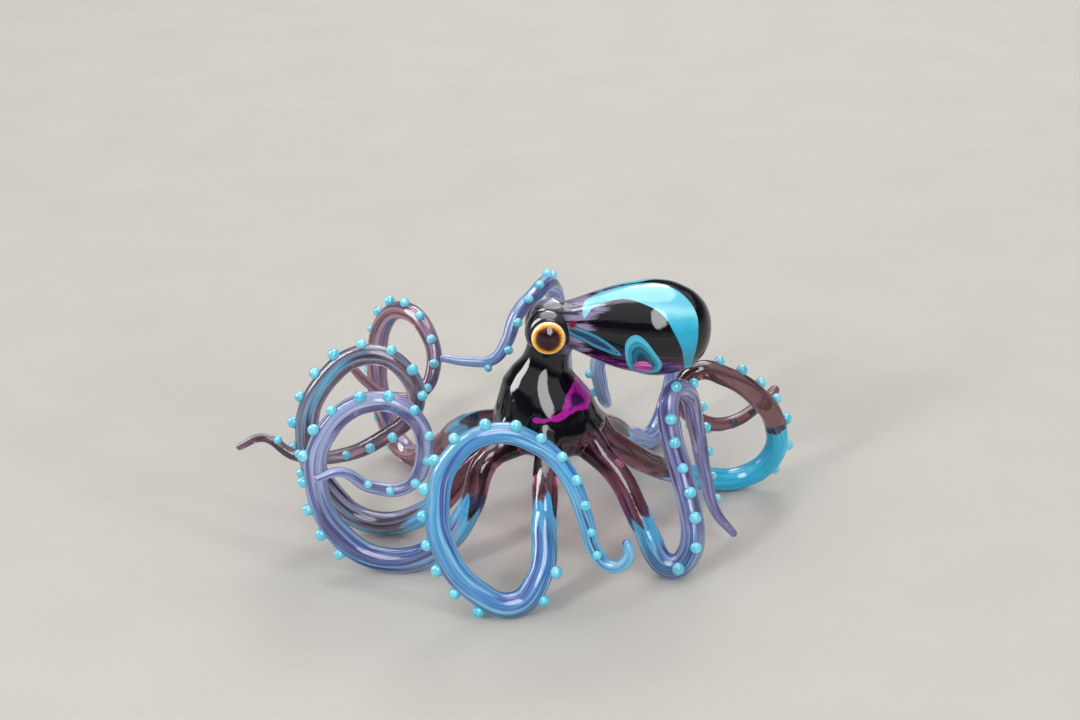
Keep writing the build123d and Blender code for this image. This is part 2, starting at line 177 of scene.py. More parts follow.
# %% The eight arms
# azimuth, reach, rise, tip radius, leg share, bead shares, lean of the bead row,
# azimuth of the side the arm curls to, and the points of the route
ARMS = {
    "front": dict(
        azimuth=-90, reach=40, rise=41, tip=1.3, leg=0.135, beads=(0.10, 0.90),
        lean=(-35, 0, -100), curl=90,
        route=[
            (0.48, -0.04, 0.6), (0.72, -0.05, 0.38), (0.93, -0.08, 0.14), (1, -0.22, 0),
            (1.02, -0.46, 0.1), (1, -0.63, 0.34), (0.95, -0.67, 0.61), (0.9, -0.59, 0.86),
            (0.85, -0.36, 1), (0.85, -0.1, 0.94), (0.9, 0.09, 0.76), (0.95, 0.19, 0.51),
            (0.98, 0.25, 0.32), (1.01, 0.35, 0.24), (1.01, 0.44, 0.3), (0.98, 0.43, 0.38),
        ],
    ),
    "left_front": dict(
        azimuth=195, reach=60, rise=40, tip=1, leg=0.15, beads=(0.08, 0.90),
        lean=(-10, -5, -150), curl=105,
        route=[
            (0.3, 0.11, 0.6), (0.39, 0.15, 0.31), (0.51, 0.14, 0.08), (0.72, 0.1, 0),
            (0.9, 0.03, 0.16), (0.98, -0.02, 0.5), (0.92, -0.02, 0.83), (0.74, 0.02, 1),
            (0.6, 0.06, 0.92), (0.555, 0.09, 0.7), (0.63, 0.11, 0.49), (0.78, 0.1, 0.5),
            (0.9, 0.1, 0.62), (1, 0.11, 0.6),
        ],
    ),
    "left": dict(
        azimuth=175, reach=60, rise=44, tip=0.9, leg=0.17, beads=(0.22, 0.93),
        lean=(-5, -5, -170), curl=85,
        route=[
            (0.34, 0, 0.36), (0.53, 0, 0.07), (0.76, 0, 0), (0.94, 0, 0.2), (1.02, -0.01, 0.5),
            (0.94, -0.03, 0.84), (0.75, -0.05, 1), (0.6, -0.05, 0.89), (0.57, -0.03, 0.7),
            (0.7, 0.03, 0.54), (0.88, 0.08, 0.45), (1.05, 0.1, 0.46), (1.18, 0.1, 0.56),
            (1.28, 0.1, 0.5),
        ],
    ),
    "back_left": dict(
        azimuth=130, reach=66, rise=42, tip=1, leg=0.14, beads=(0.22, 0.92),
        lean=(0, 0, -60), curl=40,
        route=[
            (0.5, 0.01, 0.42), (0.75, -0.02, 0.12), (0.94, -0.02, 0), (1.07, -0.01, 0.22),
            (1.08, 0.01, 0.55), (1, 0.02, 0.88), (0.87, 0.02, 1), (0.72, 0.03, 0.94),
            (0.64, 0.06, 0.76), (0.64, 0.13, 0.61), (0.7, 0.23, 0.6), (0.76, 0.3, 0.7),
            (0.8, 0.34, 0.8),
        ],
    ),
    "back": dict(
        azimuth=92, reach=54, rise=51, tip=1, leg=0.14, beads=(0.22, 0.92),
        lean=(0, -20, 60), curl=2,
        route=[
            (0.48, 0.05, 0.38), (0.76, 0, 0.1), (0.98, -0.08, 0), (1.11, -0.09, 0.16),
            (1.11, -0.09, 0.45), (0.98, -0.06, 0.78), (0.79, -0.01, 0.97), (0.62, 0.06, 0.98),
            (0.49, 0.15, 0.92), (0.43, 0.2, 0.8), (0.42, 0.26, 0.72), (0.42, 0.37, 0.71),
            (0.42, 0.49, 0.73),
        ],
    ),
    "back_right": dict(
        azimuth=66, reach=66, rise=42, tip=1.6, leg=0.22, beads=(0.20, 0.92),
        lean=(0, 0, -60), curl=-24,
        route=[
            (0.46, -0.04, 0.4), (0.76, -0.01, 0.13), (1, -0.02, 0.01), (1.12, -0.04, 0.2),
            (1.1, -0.07, 0.52), (0.98, -0.08, 0.86), (0.79, -0.06, 1), (0.6, -0.02, 0.95),
            (0.49, 0.02, 0.8), (0.5, 0.015, 0.64), (0.55, 0.02, 0.52), (0.62, 0.04, 0.44),
        ],
    ),
    "right": dict(
        azimuth=30, reach=62, rise=36, tip=1.3, leg=0.23, beads=(0.20, 0.93),
        lean=(0, 5, -60), curl=-60,
        route=[
            (0.32, -0.03, 0.5), (0.48, 0.02, 0.3), (0.63, 0.08, 0.14), (0.79, 0.07, 0.03),
            (0.95, 0.03, 0.01), (1.05, -0.03, 0.18), (1.045, -0.05, 0.44), (0.95, -0.04, 0.69),
            (0.81, -0.01, 0.87), (0.7, 0.02, 0.93), (0.645, 0.05, 0.82), (0.68, 0.08, 0.62),
            (0.78, 0.1, 0.46), (0.92, 0.1, 0.4), (1.05, 0.1, 0.47), (1.15, 0.1, 0.58),
        ],
    ),
    "right_front": dict(
        azimuth=-20, reach=36, rise=40, tip=1, leg=0.21, beads=(0.12, 0.90),
        lean=(-40, -30, -40), curl=155,
        route=[
            (0.52, -0.16, 0.52), (0.7, -0.22, 0.285), (0.79, -0.25, 0.15), (0.835, -0.26, 0.07),
            (0.9, -0.255, 0.01), (0.98, -0.235, 0.005), (1.045, -0.2, 0.07), (1.06, -0.155, 0.17),
            (1.02, -0.09, 0.31), (0.94, -0.01, 0.49), (0.82, 0.07, 0.77), (0.79, 0.17, 0.96),
            (0.84, 0.31, 0.94), (0.9, 0.41, 0.67), (0.96, 0.44, 0.36), (1.05, 0.44, 0.1),
            (1.19, 0.43, -0.03),
        ],
    ),
}
print("arms:", ", ".join(ARMS))

# %% [markdown]
# ## Flowing lines
# A lampworker pulls each arm as one hot rod and bends it in a single flowing move. A
# Bezier curve with automatic handles passes through a row of points in the same flowing
# way. It is read back as a fine line with even steps, on which everything else is placed.

# %% A flowing line through points
def mesh_points(mesh):
    """A mesh's vertices as an array, in millimetres."""
    places = np.zeros(len(mesh.vertices) * 3, np.float32)
    mesh.vertices.foreach_get("co", places)
    return places.reshape(-1, 3).astype(float) / MM


def length_along(places):
    """How far each place is along a line, in mm."""
    return np.concatenate([[0], np.cumsum(np.linalg.norm(np.diff(places, axis=0), axis=1))])


def curve_through(places):
    """A Bezier curve through places in mm."""
    select_only()
    bpy.ops.curve.primitive_bezier_curve_add()
    curve = bpy.context.object
    curve.matrix_world.identity()
    knots = curve.data.splines[0].bezier_points
    knots.add(len(places) - len(knots))
    for knot, place in zip(knots, places):
        knot.co = Vector(place) * MM
        knot.handle_left_type = knot.handle_right_type = "AUTO"
    return curve


def flowing_line(points, step=0.5):
    """Even places, in mm, on a Bezier curve through the points."""
    curve = curve_through(points)
    curve.data.resolution_u = 40
    bpy.context.view_layer.update()
    mesh = bpy.data.meshes.new_from_object(curve)
    fine = mesh_points(mesh)
    bpy.data.meshes.remove(mesh)
    bpy.data.objects.remove(curve)
    gone = length_along(fine)
    even = np.linspace(0, gone[-1], int(gone[-1] / step) + 1)
    return np.stack([np.interp(even, gone, fine[:, k]) for k in range(3)], axis=1)


print("a trial line has", len(flowing_line([(0, 0, 0), (5, 0, 5), (10, 0, 0)])), "places")

# %% [markdown]
# ## Centre line of each arm
# The line starts inside the collar and runs through the arm's own points. Past its first
# eighth the arm may touch the table, so there it is set down by its own lowest point.
# Beside every point a pair of directions is carried along without twisting: one across
# the loop and one to its outer side. The beads and the streaks are placed by them.

# %% Centre lines
FLARE_END = 5  # the flare at the root ends at a fifth of the arm
HANGING = 8  # the first eighth of an arm hangs from the body


def unit(v):
    """The same direction with a length of 1."""
    return v / np.linalg.norm(v)


def level(azimuth):
    """The level direction at an angle round the body, in degrees."""
    return np.array([math.cos(math.radians(azimuth)), math.sin(math.radians(azimuth)), 0.0])


def raised(height):
    """A step straight up."""
    return np.array([0.0, 0.0, height])


def headings(places):
    """The direction of a line at each of its places."""
    ways = np.gradient(places, axis=0)
    return ways / np.linalg.norm(ways, axis=1)[:, None]


def arm_line(arm):
    """The arm's places, directions, radii and lengths."""
    out_way, side_way = level(arm["azimuth"]), level(arm["azimuth"] + 90)
    points = [
        BODY + (out_way * out + side_way * side) * arm["reach"] + raised(ROD + arm["rise"] * up)
        for out, side, up in arm["route"]
    ]
    heading = unit((points[0] - BODY) * np.array([1, 1, 0]))
    places = flowing_line([BODY + heading * ROOT_OUT + raised(ROOT_UP)] + points)
    share = np.linspace(0, 1, len(places))
    flare = ROOT_FLARE * np.maximum(0, 1 - FLARE_END * share) ** 2
    radius = arm["tip"] + (ROD - arm["tip"]) * (1 - share**TAPER_POWER) + flare
    ways = headings(places)
    underside = places[:, 2] - radius * np.sqrt(1 - ways[:, 2] ** 2)
    lowest = underside[len(places) // HANGING :].min()
    places[:, 2] -= lowest * np.clip(share * HANGING, 0, 1)
    across = [unit(np.cross(ways[0], [0, 0, 1]))]
    for way in ways[1:]:
        across.append(unit(across[-1] - way * (across[-1] @ way)))
    across = np.array(across)
    return dict(
        places=places, ways=ways, across=across, outer=np.cross(ways, across), radius=radius,
        gone=length_along(places), share=share,
    )


LINES = {name: arm_line(arm) for name, arm in ARMS.items()}
for name, line in LINES.items():
    print(name, "arm, length in mm:", round(float(line["gone"][-1]), 1))

# %% [markdown]
# ## Pulled rod
# An arm is a round rod that keeps its thickness and thins to a rounded tip. A curve with
# a round bevel and a radius at each of its points is the natural tool: it is drawn along
# the centre line and turned into a mesh. Hand-pulled glass is never quite even, so the
# radius wavers by about one part in a hundred.

# %% Rod along a centre line
DIP = 3.0  # mm over which an end is drawn in
DOME = (15, 30, 45, 60, 72, 82)  # degrees at which the rounded tip has a ring


def in_edit_mode(piece, *steps):
    """Runs edit mode operators on all of a mesh."""
    select_only(piece)
    bpy.ops.object.mode_set(mode="EDIT")
    bpy.ops.mesh.select_all(action="SELECT")
    for step, settings in steps:
        step(**settings)
    bpy.ops.object.mode_set(mode="OBJECT")


def pulled_rod(line, first, last, tucked=0.0, hidden=0.0, domed=False, waver=0.012, seed=0.0):
    """A rod mesh between two shares of a centre line. Its end can be tucked in and its start
    hidden by a part of a millimetre, so that it dips under its neighbour."""
    keep = np.where((line["share"] >= first) & (line["share"] <= last))[0][::2]
    places = list(line["places"][keep])
    gone, share = line["gone"][keep], line["share"][keep]
    # two slow waves of about 20 and 8 mm, which grow over the first ninth of the arm
    wave = np.sin(gone * 0.31 + seed) + 0.6 * np.sin(gone * 0.83 + seed * 2)
    radii = line["radius"][keep] * (1 + waver * wave * np.clip(share * 9, 0, 1))
    radii -= tucked * np.clip(1 - (gone[-1] - gone) / DIP, 0, 1)
    radii -= hidden * np.clip(1 - (gone - gone[0]) / DIP, 0, 1)
    radii = list(radii)
    if domed:
        tip, way, end = radii[-1], line["ways"][keep[-1]], places[-1]
        for turn in DOME:
            places.append(end + way * tip * math.sin(math.radians(turn)))
            radii.append(tip * math.cos(math.radians(turn)))
    curve = curve_through(places)
    for knot, radius in zip(curve.data.splines[0].bezier_points, radii):
        knot.radius = radius
    curve.data.resolution_u = 1
    curve.data.bevel_depth = MM
    curve.data.bevel_resolution = 5
    curve.data.use_fill_caps = True
    bpy.ops.object.convert(target="MESH")
    rod = bpy.context.object
    in_edit_mode(
        rod,
        (bpy.ops.mesh.remove_doubles, dict(threshold=0.00001)),
        (bpy.ops.mesh.normals_make_consistent, dict(inside=False)),
    )
    bpy.ops.object.shade_smooth()
    return rod


print("knots along the front arm:", len(LINES["front"]["places"]) // 2)

# %% [markdown]
# ## Places on the straightened rod
# The colours of a pulled rod follow it round every bend. So each vertex stores where it
# would lie if its rod were straight, with the nearest place of the centre line found by
# a k-d tree. It also stores how far it is past the border of leg and coil, in mm, and its
# share of the arm. The glasses read these as attributes.

# %% Rod places
def keep_number(piece, name, values):
    """Stores one number at each vertex."""
    store = piece.data.attributes.new(name, "FLOAT", "POINT")
    store.data.foreach_set("value", np.asarray(values, np.float32))


def keep_rod_place(piece, names):
    """Stores each vertex's place on the rods: across, outer and along, in mm."""
    tree = kdtree.KDTree(sum(len(LINES[name]["places"]) for name in names))
    owner = []
    for name in names:
        for k, place in enumerate(LINES[name]["places"]):
            tree.insert(place, len(owner))
            owner.append((name, k))
    tree.balance()
    spots, borders, shares = [], [], []
    for point in mesh_points(piece.data):
        name, k = owner[tree.find(point)[1]]
        line = LINES[name]
        off = point - line["places"][k]
        along = line["gone"][k] + off @ line["ways"][k]
        spots.append((off @ line["across"][k], off @ line["outer"][k], along))
        borders.append(along - ARMS[name]["leg"] * line["gone"][-1])
        shares.append(line["share"][k])
    store = piece.data.attributes.new("rod_place", "FLOAT_VECTOR", "POINT")
    store.data.foreach_set("vector", np.asarray(spots, np.float32).ravel())
    keep_number(piece, "past_border", borders)
    keep_number(piece, "arm_share", shares)


for name, arm in ARMS.items():
    print(name, "leg, mm to its border:", round(arm["leg"] * float(LINES[name]["gone"][-1]), 1))

# %% [markdown]
# ## Cased, streaked rod glass
# The arms are soft soda-lime glass: a core of turquoise, blue and lavender rods that was
# cased in clear glass and pulled, so the colours are drawn out into long streaks that
# follow the arm. The finish is fire-polished, so it is as smooth as water: IOR 1.5 and a
# roughness near zero. The streaks are read in the straightened rod's own places, where
# 1 unit is 1 mm, and noise is stretched about thirty times along the rod.

# %% Streaks that follow a rod
STREAK_WIDTH = 1.6  # mm, the width of a broad streak
STREAK_STRETCH = 0.03  # a streak is as long as its width divided by this
TWIST = 0.02  # radians to the mm that the streaks turn round the rod


def straightened(tree):
    """Places on the straightened rod, plain, and turned slowly as pulled glass is."""
    place = add(tree, "Attribute", out="Vector", attribute_name="rod_place")
    angle = add(tree, "Math", add(tree, "SeparateXYZ", place, out=2), TWIST, operation="MULTIPLY")
    turned = add(
        tree, "VectorRotate", {"Vector": place, "Angle": angle}, rotation_type="Z_AXIS"
    )
    return place, turned


def drawn_out(tree, place, width, seed, detail=2.0):
    """Noise with streaks of a width in mm, drawn out along the rod."""
    scale = (1, 1, STREAK_STRETCH)
    drawn = add(tree, "Mapping", {"Vector": place, "Location": (seed,) * 3, "Scale": scale})
    return add(tree, "TexNoise", drawn, {"Scale": 1 / width, "Detail": detail})


def outer_share(tree, place):
    """0 on the inner side of the curl and 1 on its outer side."""
    flat = add(tree, "VectorMath", place, (1, 1, 0), operation="MULTIPLY")
    way = add(tree, "VectorMath", flat, operation="NORMALIZE")
    return add(
        tree, "Math", add(tree, "SeparateXYZ", way, out=1), 0.5, 0.5, operation="MULTIPLY_ADD"
    )


def painted_rim_highlight(tree, tint, share):
    """A painted rim highlight: a thin pinkish line painted into the colour where a rod's face turns
    away from the view, in place of a reflection at its rim.
    """
    facing = add(tree, "LayerWeight", {"Blend": 0.5}, out="Facing")
    rim = add(tree, "MapRange", facing, 0.74, 0.90, 0.0, 0.75, **SOFT)
    rim = add(tree, "Math", rim, share, operation="MULTIPLY")
    # the pale pink of the painted rim highlight
    return add(tree, "Mix", {0: rim, 6: tint, 7: colour("#dcaebf")}, **BLEND)


print("a broad streak is", round(STREAK_WIDTH / STREAK_STRETCH), "mm long")

# %% [markdown]
# ## Where a leg runs into its coil
# Each leg is clear amethyst, and the turquoise of the coil was laid over its end while
# both were hot, so the border is a ragged row of points. The body and the coils use the
# same function, so the points run on from one piece to the next.

# %% Leg glass
def leg_glass(tree, turned):
    """Amethyst of a leg with a painted pale rim highlight, the blue laid over its end, how much the
    blue covers, and how far past the ragged border a place is, in mm."""
    streak = drawn_out(tree, turned, STREAK_WIDTH * 1.3, 3.0, 3.0)
    leg = add(tree, "ValToRGB", streak, stops=[
        (0.34, "#42182a"), (0.44, "#7e4a56"), (0.52, "#a07080"), (0.57, "#983e8c"),
        (0.63, "#562042"),
    ])
    blue = add(tree, "ValToRGB", streak, stops=[
        (0.35, "#3f9ccc"), (0.52, "#7cc0e4"), (0.60, "#4a86c8"), (0.70, "#5c63b4"),
    ])
    border = add(tree, "Attribute", out="Fac", attribute_name="past_border")
    ragged = drawn_out(tree, turned, STREAK_WIDTH * 1.5, 19.0, 1.0)
    reach = swayed(tree, border, ragged, 22.0)
    over = add(tree, "MapRange", reach, -2.3, -0.6, **SOFT)
    return painted_rim_highlight(tree, leg, 1.0), blue, over, reach


print("the points of the border are", round(STREAK_WIDTH * 1.5, 1), "mm wide")

# %% [markdown]
# ## Glass of a coil
# A coil's colours go from the inner to the outer side of its curl, with paler and darker
# lines over them and clear stretches that show what is behind. Some arms change their
# colours further on, over a ragged border or over a long run. The coloured streaks let
# little light through, which is set by Transmission Weight and reads as milky glass.

# %% Cased glass
def streaked_glass(name, stops, line, clear, clear_from, seed, pull=0.7, milk=0.15,
                   pale="#d2dbf2", late=None, early_clear=0.2):
    """Cased streaky glass: stops run from the inner to the outer side of the curl, and pull
    says how strictly, milk is how much light the coloured streaks let through, and late gives
    the share of the arm where the colours start and end to change, the later colours, and the
    later pale and dark line. Before that, only early_clear of the clear streaks show."""
    material, tree = empty_material(name)
    place, turned = straightened(tree)
    wander = drawn_out(tree, turned, STREAK_WIDTH * 1.6, seed, 3.0)
    bent = swayed(tree, 0.5, wander, 1.5)
    moved = swayed(tree, bent, outer_share(tree, place), pull)
    tint = add(tree, "ValToRGB", moved, stops=stops, eased=False)
    pale_tint, line_tint = colour(pale), colour(line)
    if late:
        start, end, late_stops, *late_lines = late
        share = add(tree, "Attribute", out="Fac", attribute_name="arm_share")
        after = add(tree, "MapRange", swayed(tree, share, wander, 0.015), start, end, **SOFT)
        late_tint = add(tree, "ValToRGB", moved, stops=late_stops, eased=False)
        tint = add(tree, "Mix", {0: after, 6: tint, 7: late_tint}, **BLEND)
        if late_lines:
            pale_tint, line_tint = (
                add(tree, "Mix", {0: after, 6: early, 7: colour(code)}, **BLEND)
                for early, code in zip((pale_tint, line_tint), late_lines)
            )
    fine = drawn_out(tree, turned, STREAK_WIDTH / 2, seed + 7, 3.0)
    tint = laid_over(tree, tint, pale_tint, fine, 0.48, 0.64, 0.6)
    deep = drawn_out(tree, turned, STREAK_WIDTH, seed + 13, 3.0)
    tint = laid_over(tree, tint, line_tint, deep, 0.585, 0.64, 0.85)
    bare = drawn_out(tree, turned, STREAK_WIDTH * 1.5, seed + 29)
    window = add(tree, "MapRange", bare, clear_from, clear_from + 0.08, **SOFT)
    if late:
        opened = add(tree, "MapRange", after, 0.0, 1.0, early_clear, 1.0, **SOFT)
        window = add(tree, "Math", window, opened, operation="MULTIPLY")
    tint = add(tree, "Mix", {0: window, 6: tint, 7: colour(clear)}, **BLEND)
    # a painted pinkish highlight at the rim, only on the clear streaks
    tint = painted_rim_highlight(tree, tint, window)
    through = add(tree, "MapRange", window, 0.0, 1.0, milk, 0.95, **SOFT)
    # the blue of the border runs out over the first few mm, and the leg's amethyst before it
    leg, blue, over, reach = leg_glass(tree, turned)
    own = add(tree, "MapRange", reach, 4.0, 9.0, **SOFT)
    tint = add(tree, "Mix", {0: own, 6: blue, 7: tint}, **BLEND)
    tint = add(tree, "Mix", {0: over, 6: leg, 7: tint}, **BLEND)
    through = add(tree, "Math", through, own, operation="MULTIPLY")
    leg_share = add(tree, "Math", 1.0, over, operation="SUBTRACT")
    through = add(tree, "Math", through, leg_share, operation="MAXIMUM")
    # hair lines a little darker and lighter run through everything
    hair = drawn_out(tree, turned, STREAK_WIDTH / 4, seed + 3)
    depth = add(tree, "MapRange", hair, 0.35, 0.65, 0.84, 1.10, **SOFT)
    tint = add(tree, "VectorMath", {0: tint, "Scale": depth}, operation="SCALE")
    shader = add(
        tree, "BsdfPrincipled", {"Base Color": tint, "Transmission Weight": through},
        POLISHED, DEEP,
    )
    add(tree, "OutputMaterial", shader)
    return material


print("hair lines are", STREAK_WIDTH / 4, "mm wide")

# %% [markdown]
# ## Colours of the rods
# Each list runs from the inner side of the curl, 0, to its outer side, 1. The colours
# were judged against the photograph, lighter than they look there, because thin
# glass lets some of the light pass.

# %% Colour lists
TURQUOISE_SIDE = [
    (0.00, "#4f9cd6"), (0.14, "#6cbce4"), (0.24, "#4a8ccc"), (0.31, "#41489a"), (0.36, "#5088cc"),
    (0.50, "#3fa6da"), (0.62, "#35b2dc"), (0.76, "#3bbade"), (0.88, "#62cdea"), (1.00, "#3cb0d6"),
]
LAVENDER_SIDE = [
    (0.00, "#9cb4e0"), (0.12, "#c4ceee"), (0.24, "#a8b0da"), (0.32, "#7a6fa8"), (0.38, "#b0bde8"),
    (0.50, "#bac5ea"), (0.60, "#86b2e0"), (0.68, "#b6a8d6"), (0.75, "#86709c"), (0.83, "#84b8e4"),
    (1.00, "#74a0d2"),
]
VIOLET_SIDE = [
    (0.00, "#b8aed6"), (0.20, "#9a9acc"), (0.34, "#54569c"), (0.46, "#8288c2"), (0.58, "#b0a6d0"),
    (0.70, "#5f68ac"), (0.84, "#a39cca"), (1.00, "#6f6ca6"),
]
BROWN_SIDE = [
    (0.00, "#9298ca"), (0.14, "#b4b8dc"), (0.24, "#5e4c64"), (0.34, "#8c6870"), (0.43, "#38222e"),
    (0.50, "#7aa4cc"), (0.58, "#66c0dc"), (0.66, "#5fa6d0"), (0.72, "#402430"), (0.84, "#7a5c6c"),
    (0.92, "#2e1c28"), (1.00, "#8a7aa6"),
]
PINK_SIDE = [
    (0.00, "#5f7cc0"), (0.20, "#7a8cc4"), (0.34, "#cf98a8"), (0.46, "#4c2a34"), (0.58, "#b08490"),
    (0.70, "#42242e"), (0.82, "#d4a6b8"), (1.00, "#7a6486"),
]
PALE_SIDE = [
    (0.00, "#6b86c8"), (0.20, "#8ea4dc"), (0.40, "#6a7cc0"), (0.55, "#9fb0e2"), (0.75, "#74a2d8"),
    (1.00, "#8fa2d8"),
]
SKY_SIDE = [
    (0.00, "#2fb0d8"), (0.30, "#38bce0"), (0.55, "#2aaed6"), (0.80, "#4cc8e6"), (1.00, "#2ea8d0"),
]
AMETHYST_SIDE = [
    (0.00, "#5e3c42"), (0.25, "#7e585c"), (0.40, "#553238"), (0.55, "#6e4a4e"), (0.66, "#341a24"),
    (0.80, "#805e66"), (1.00, "#40242c"),
]
TAIL_SIDE = [
    (0.00, "#9a7a86"), (0.25, "#b490a0"), (0.42, "#6a4a56"), (0.56, "#8c90b8"), (0.68, "#a8848e"),
    (0.82, "#5c3c48"), (1.00, "#9c8098"),
]
FOOT_SIDE = [
    (0.00, "#5a8ccc"), (0.12, "#3c66b0"), (0.24, "#6cb4e0"), (0.33, "#44327a"), (0.43, "#4aa6d8"),
    (0.54, "#385694"), (0.64, "#5cb8e0"), (0.74, "#4c3470"), (0.86, "#48a4d6"), (1.00, "#365696"),
]
print("stops of the front arm:", len(FOOT_SIDE), "and then", len(TURQUOISE_SIDE))

# %% [markdown]
# ## One glass for each arm
# No two arms came from the same rod. The front arm is turquoise, its neighbours are
# lavender and violet, the left ones are brown and pink with much clear glass in them, and
# the right one changes from sky blue to clear brown at a hard border half way.

# %% Arm glasses
ARM_GLASS = {
    "front": streaked_glass(
        "turquoise_cased_glass", FOOT_SIDE, "#4a4a9c", "#8fb0dc", 0.64, 1.0, pull=0.9,
        pale="#a8dcf0", late=(0.26, 0.46, TURQUOISE_SIDE),
    ),
    "left_front": streaked_glass(
        "lavender_cased_glass", FOOT_SIDE, "#544a8c", "#b4b0d4", 0.53, 5.0, pull=0.6, milk=0.35,
        late=(0.32, 0.54, LAVENDER_SIDE),
    ),
    "left": streaked_glass(
        "brown_cased_glass", BROWN_SIDE, "#3c2a40", "#a88c98", 0.47, 9.0, milk=0.4,
        late=(0.60, 0.78, TAIL_SIDE), early_clear=0.45,
    ),
    "back_left": streaked_glass(
        "pink_cased_glass", PINK_SIDE, "#4c3a64", "#b8929c", 0.52, 13.0, milk=0.4, pale="#e0b8cc"
    ),
    "back": streaked_glass("pale_blue_cased_glass", PALE_SIDE, "#6a74b4", "#a8aed0", 0.60, 17.0),
    "back_right": streaked_glass(
        "blue_cased_glass", PALE_SIDE, "#5a5f9c", "#8f94c0", 0.62, 21.0
    ),
    "right": streaked_glass(
        "sky_cased_glass", SKY_SIDE, "#34b0d8", "#956a70", 0.37, 25.0, milk=0.05, pale="#54cbe6",
        late=(0.495, 0.499, AMETHYST_SIDE, "#86646a", "#3a1e28"), early_clear=0.0,
    ),
    "right_front": streaked_glass(
        "violet_cased_glass", FOOT_SIDE, "#454490", "#b8b0d4", 0.50, 33.0, pull=0.6, milk=0.45,
        late=(0.26, 0.50, VIOLET_SIDE),
    ),
}
print("arm glasses:", len(ARM_GLASS))

# %% [markdown]
# ## Threads by the neck
# Where the mantle was drawn off the head, a lilac mist of fine threads runs from the
# head on to the mantle and ends in points. Where it lies on top, on the crown and on the
# mantle next to it, the lilac is a painted sheen. The threads are a noise in the places
# that were drawn on the side of the mantle, long along it and about 1 mm wide across it.
# Body and mantle both read them, so the lilac crosses from one to the other.

# %% Threads of lilac
FLOW_WIDTH = 25 / 3  # mm, the slow flow that bends every line by the neck
THREAD_WIDTH = 10 / 9  # mm
THREAD_STRETCH = 0.12  # a thread is as long as its width divided by this
# lilac of the threads by the neck; on top the same lilac is a painted sheen
HAZE_AND_SHEEN = "#9a8db2"


def neck_threads_and_sheen(tree, in_mm):
    """Height on the drawing, the slow flow, the threads, and how much the lilac covers: threads by
    the neck, and on top a painted sheen.
    """
    along = add(tree, "Attribute", out="Fac", attribute_name="drawn_along")
    up = add(tree, "Attribute", out="Fac", attribute_name="drawn_up")
    flow = add(tree, "TexNoise", in_mm, {"Scale": 1 / FLOW_WIDTH, "Detail": 2.0})
    long = add(tree, "Math", along, THREAD_STRETCH, operation="MULTIPLY")
    drawn = add(tree, "CombineXYZ", long, up, flow)
    threads = add(tree, "TexNoise", drawn, {"Scale": 1 / THREAD_WIDTH, "Detail": 3.0})
    # the lilac reaches 6 to 9 mm along the mantle, further out on top, and ends in points
    #     where its threads run out; it starts on the first mm of the mantle and, as a painted
    #     sheen on top, on the crown
    above = add(tree, "Math", up, 0.0, operation="MAXIMUM")
    lifted = add(tree, "Math", above, -0.9, along, operation="MULTIPLY_ADD")
    reach = add(tree, "MapRange", swayed(tree, lifted, threads, -14.0), 9.0, 6.0, **SOFT)
    near, sheen_on_top = (
        add(tree, "Math", add(tree, "MapRange", value, low, high, **SOFT), reach,
            operation="MULTIPLY")
        for value, low, high in ((along, 1.0, 5.0), (up, 1.5, 4.5))
    )
    cover = add(tree, "Math", near, sheen_on_top, operation="MAXIMUM")
    shown = add(tree, "MapRange", threads, 0.38, 0.56, 0.0, 0.85, **SOFT)
    return up, flow, threads, add(tree, "Math", cover, shown, operation="MULTIPLY")


print("threads are", round(THREAD_WIDTH, 1), "mm wide")

# %% [markdown]
# ## Amethyst and black body glass
# The legs are clear amethyst, a manganese purple that looks brown where it is thick. The
# shoulders, neck and head are the same colour laid on so thick that they look black, with
# one thin window of magenta whose middle is darker. The glass lets light through by
# Transmission Weight, and the black part takes it away again. It could be two materials,
# but one with soft borders melts together as the real glass did.

# %% Body glass
CLOUD_WIDTH = 6.25  # mm, waves of the border between amethyst and black
FRAY_WIDTH = 20 / 7  # mm, the torn edge of the magenta window


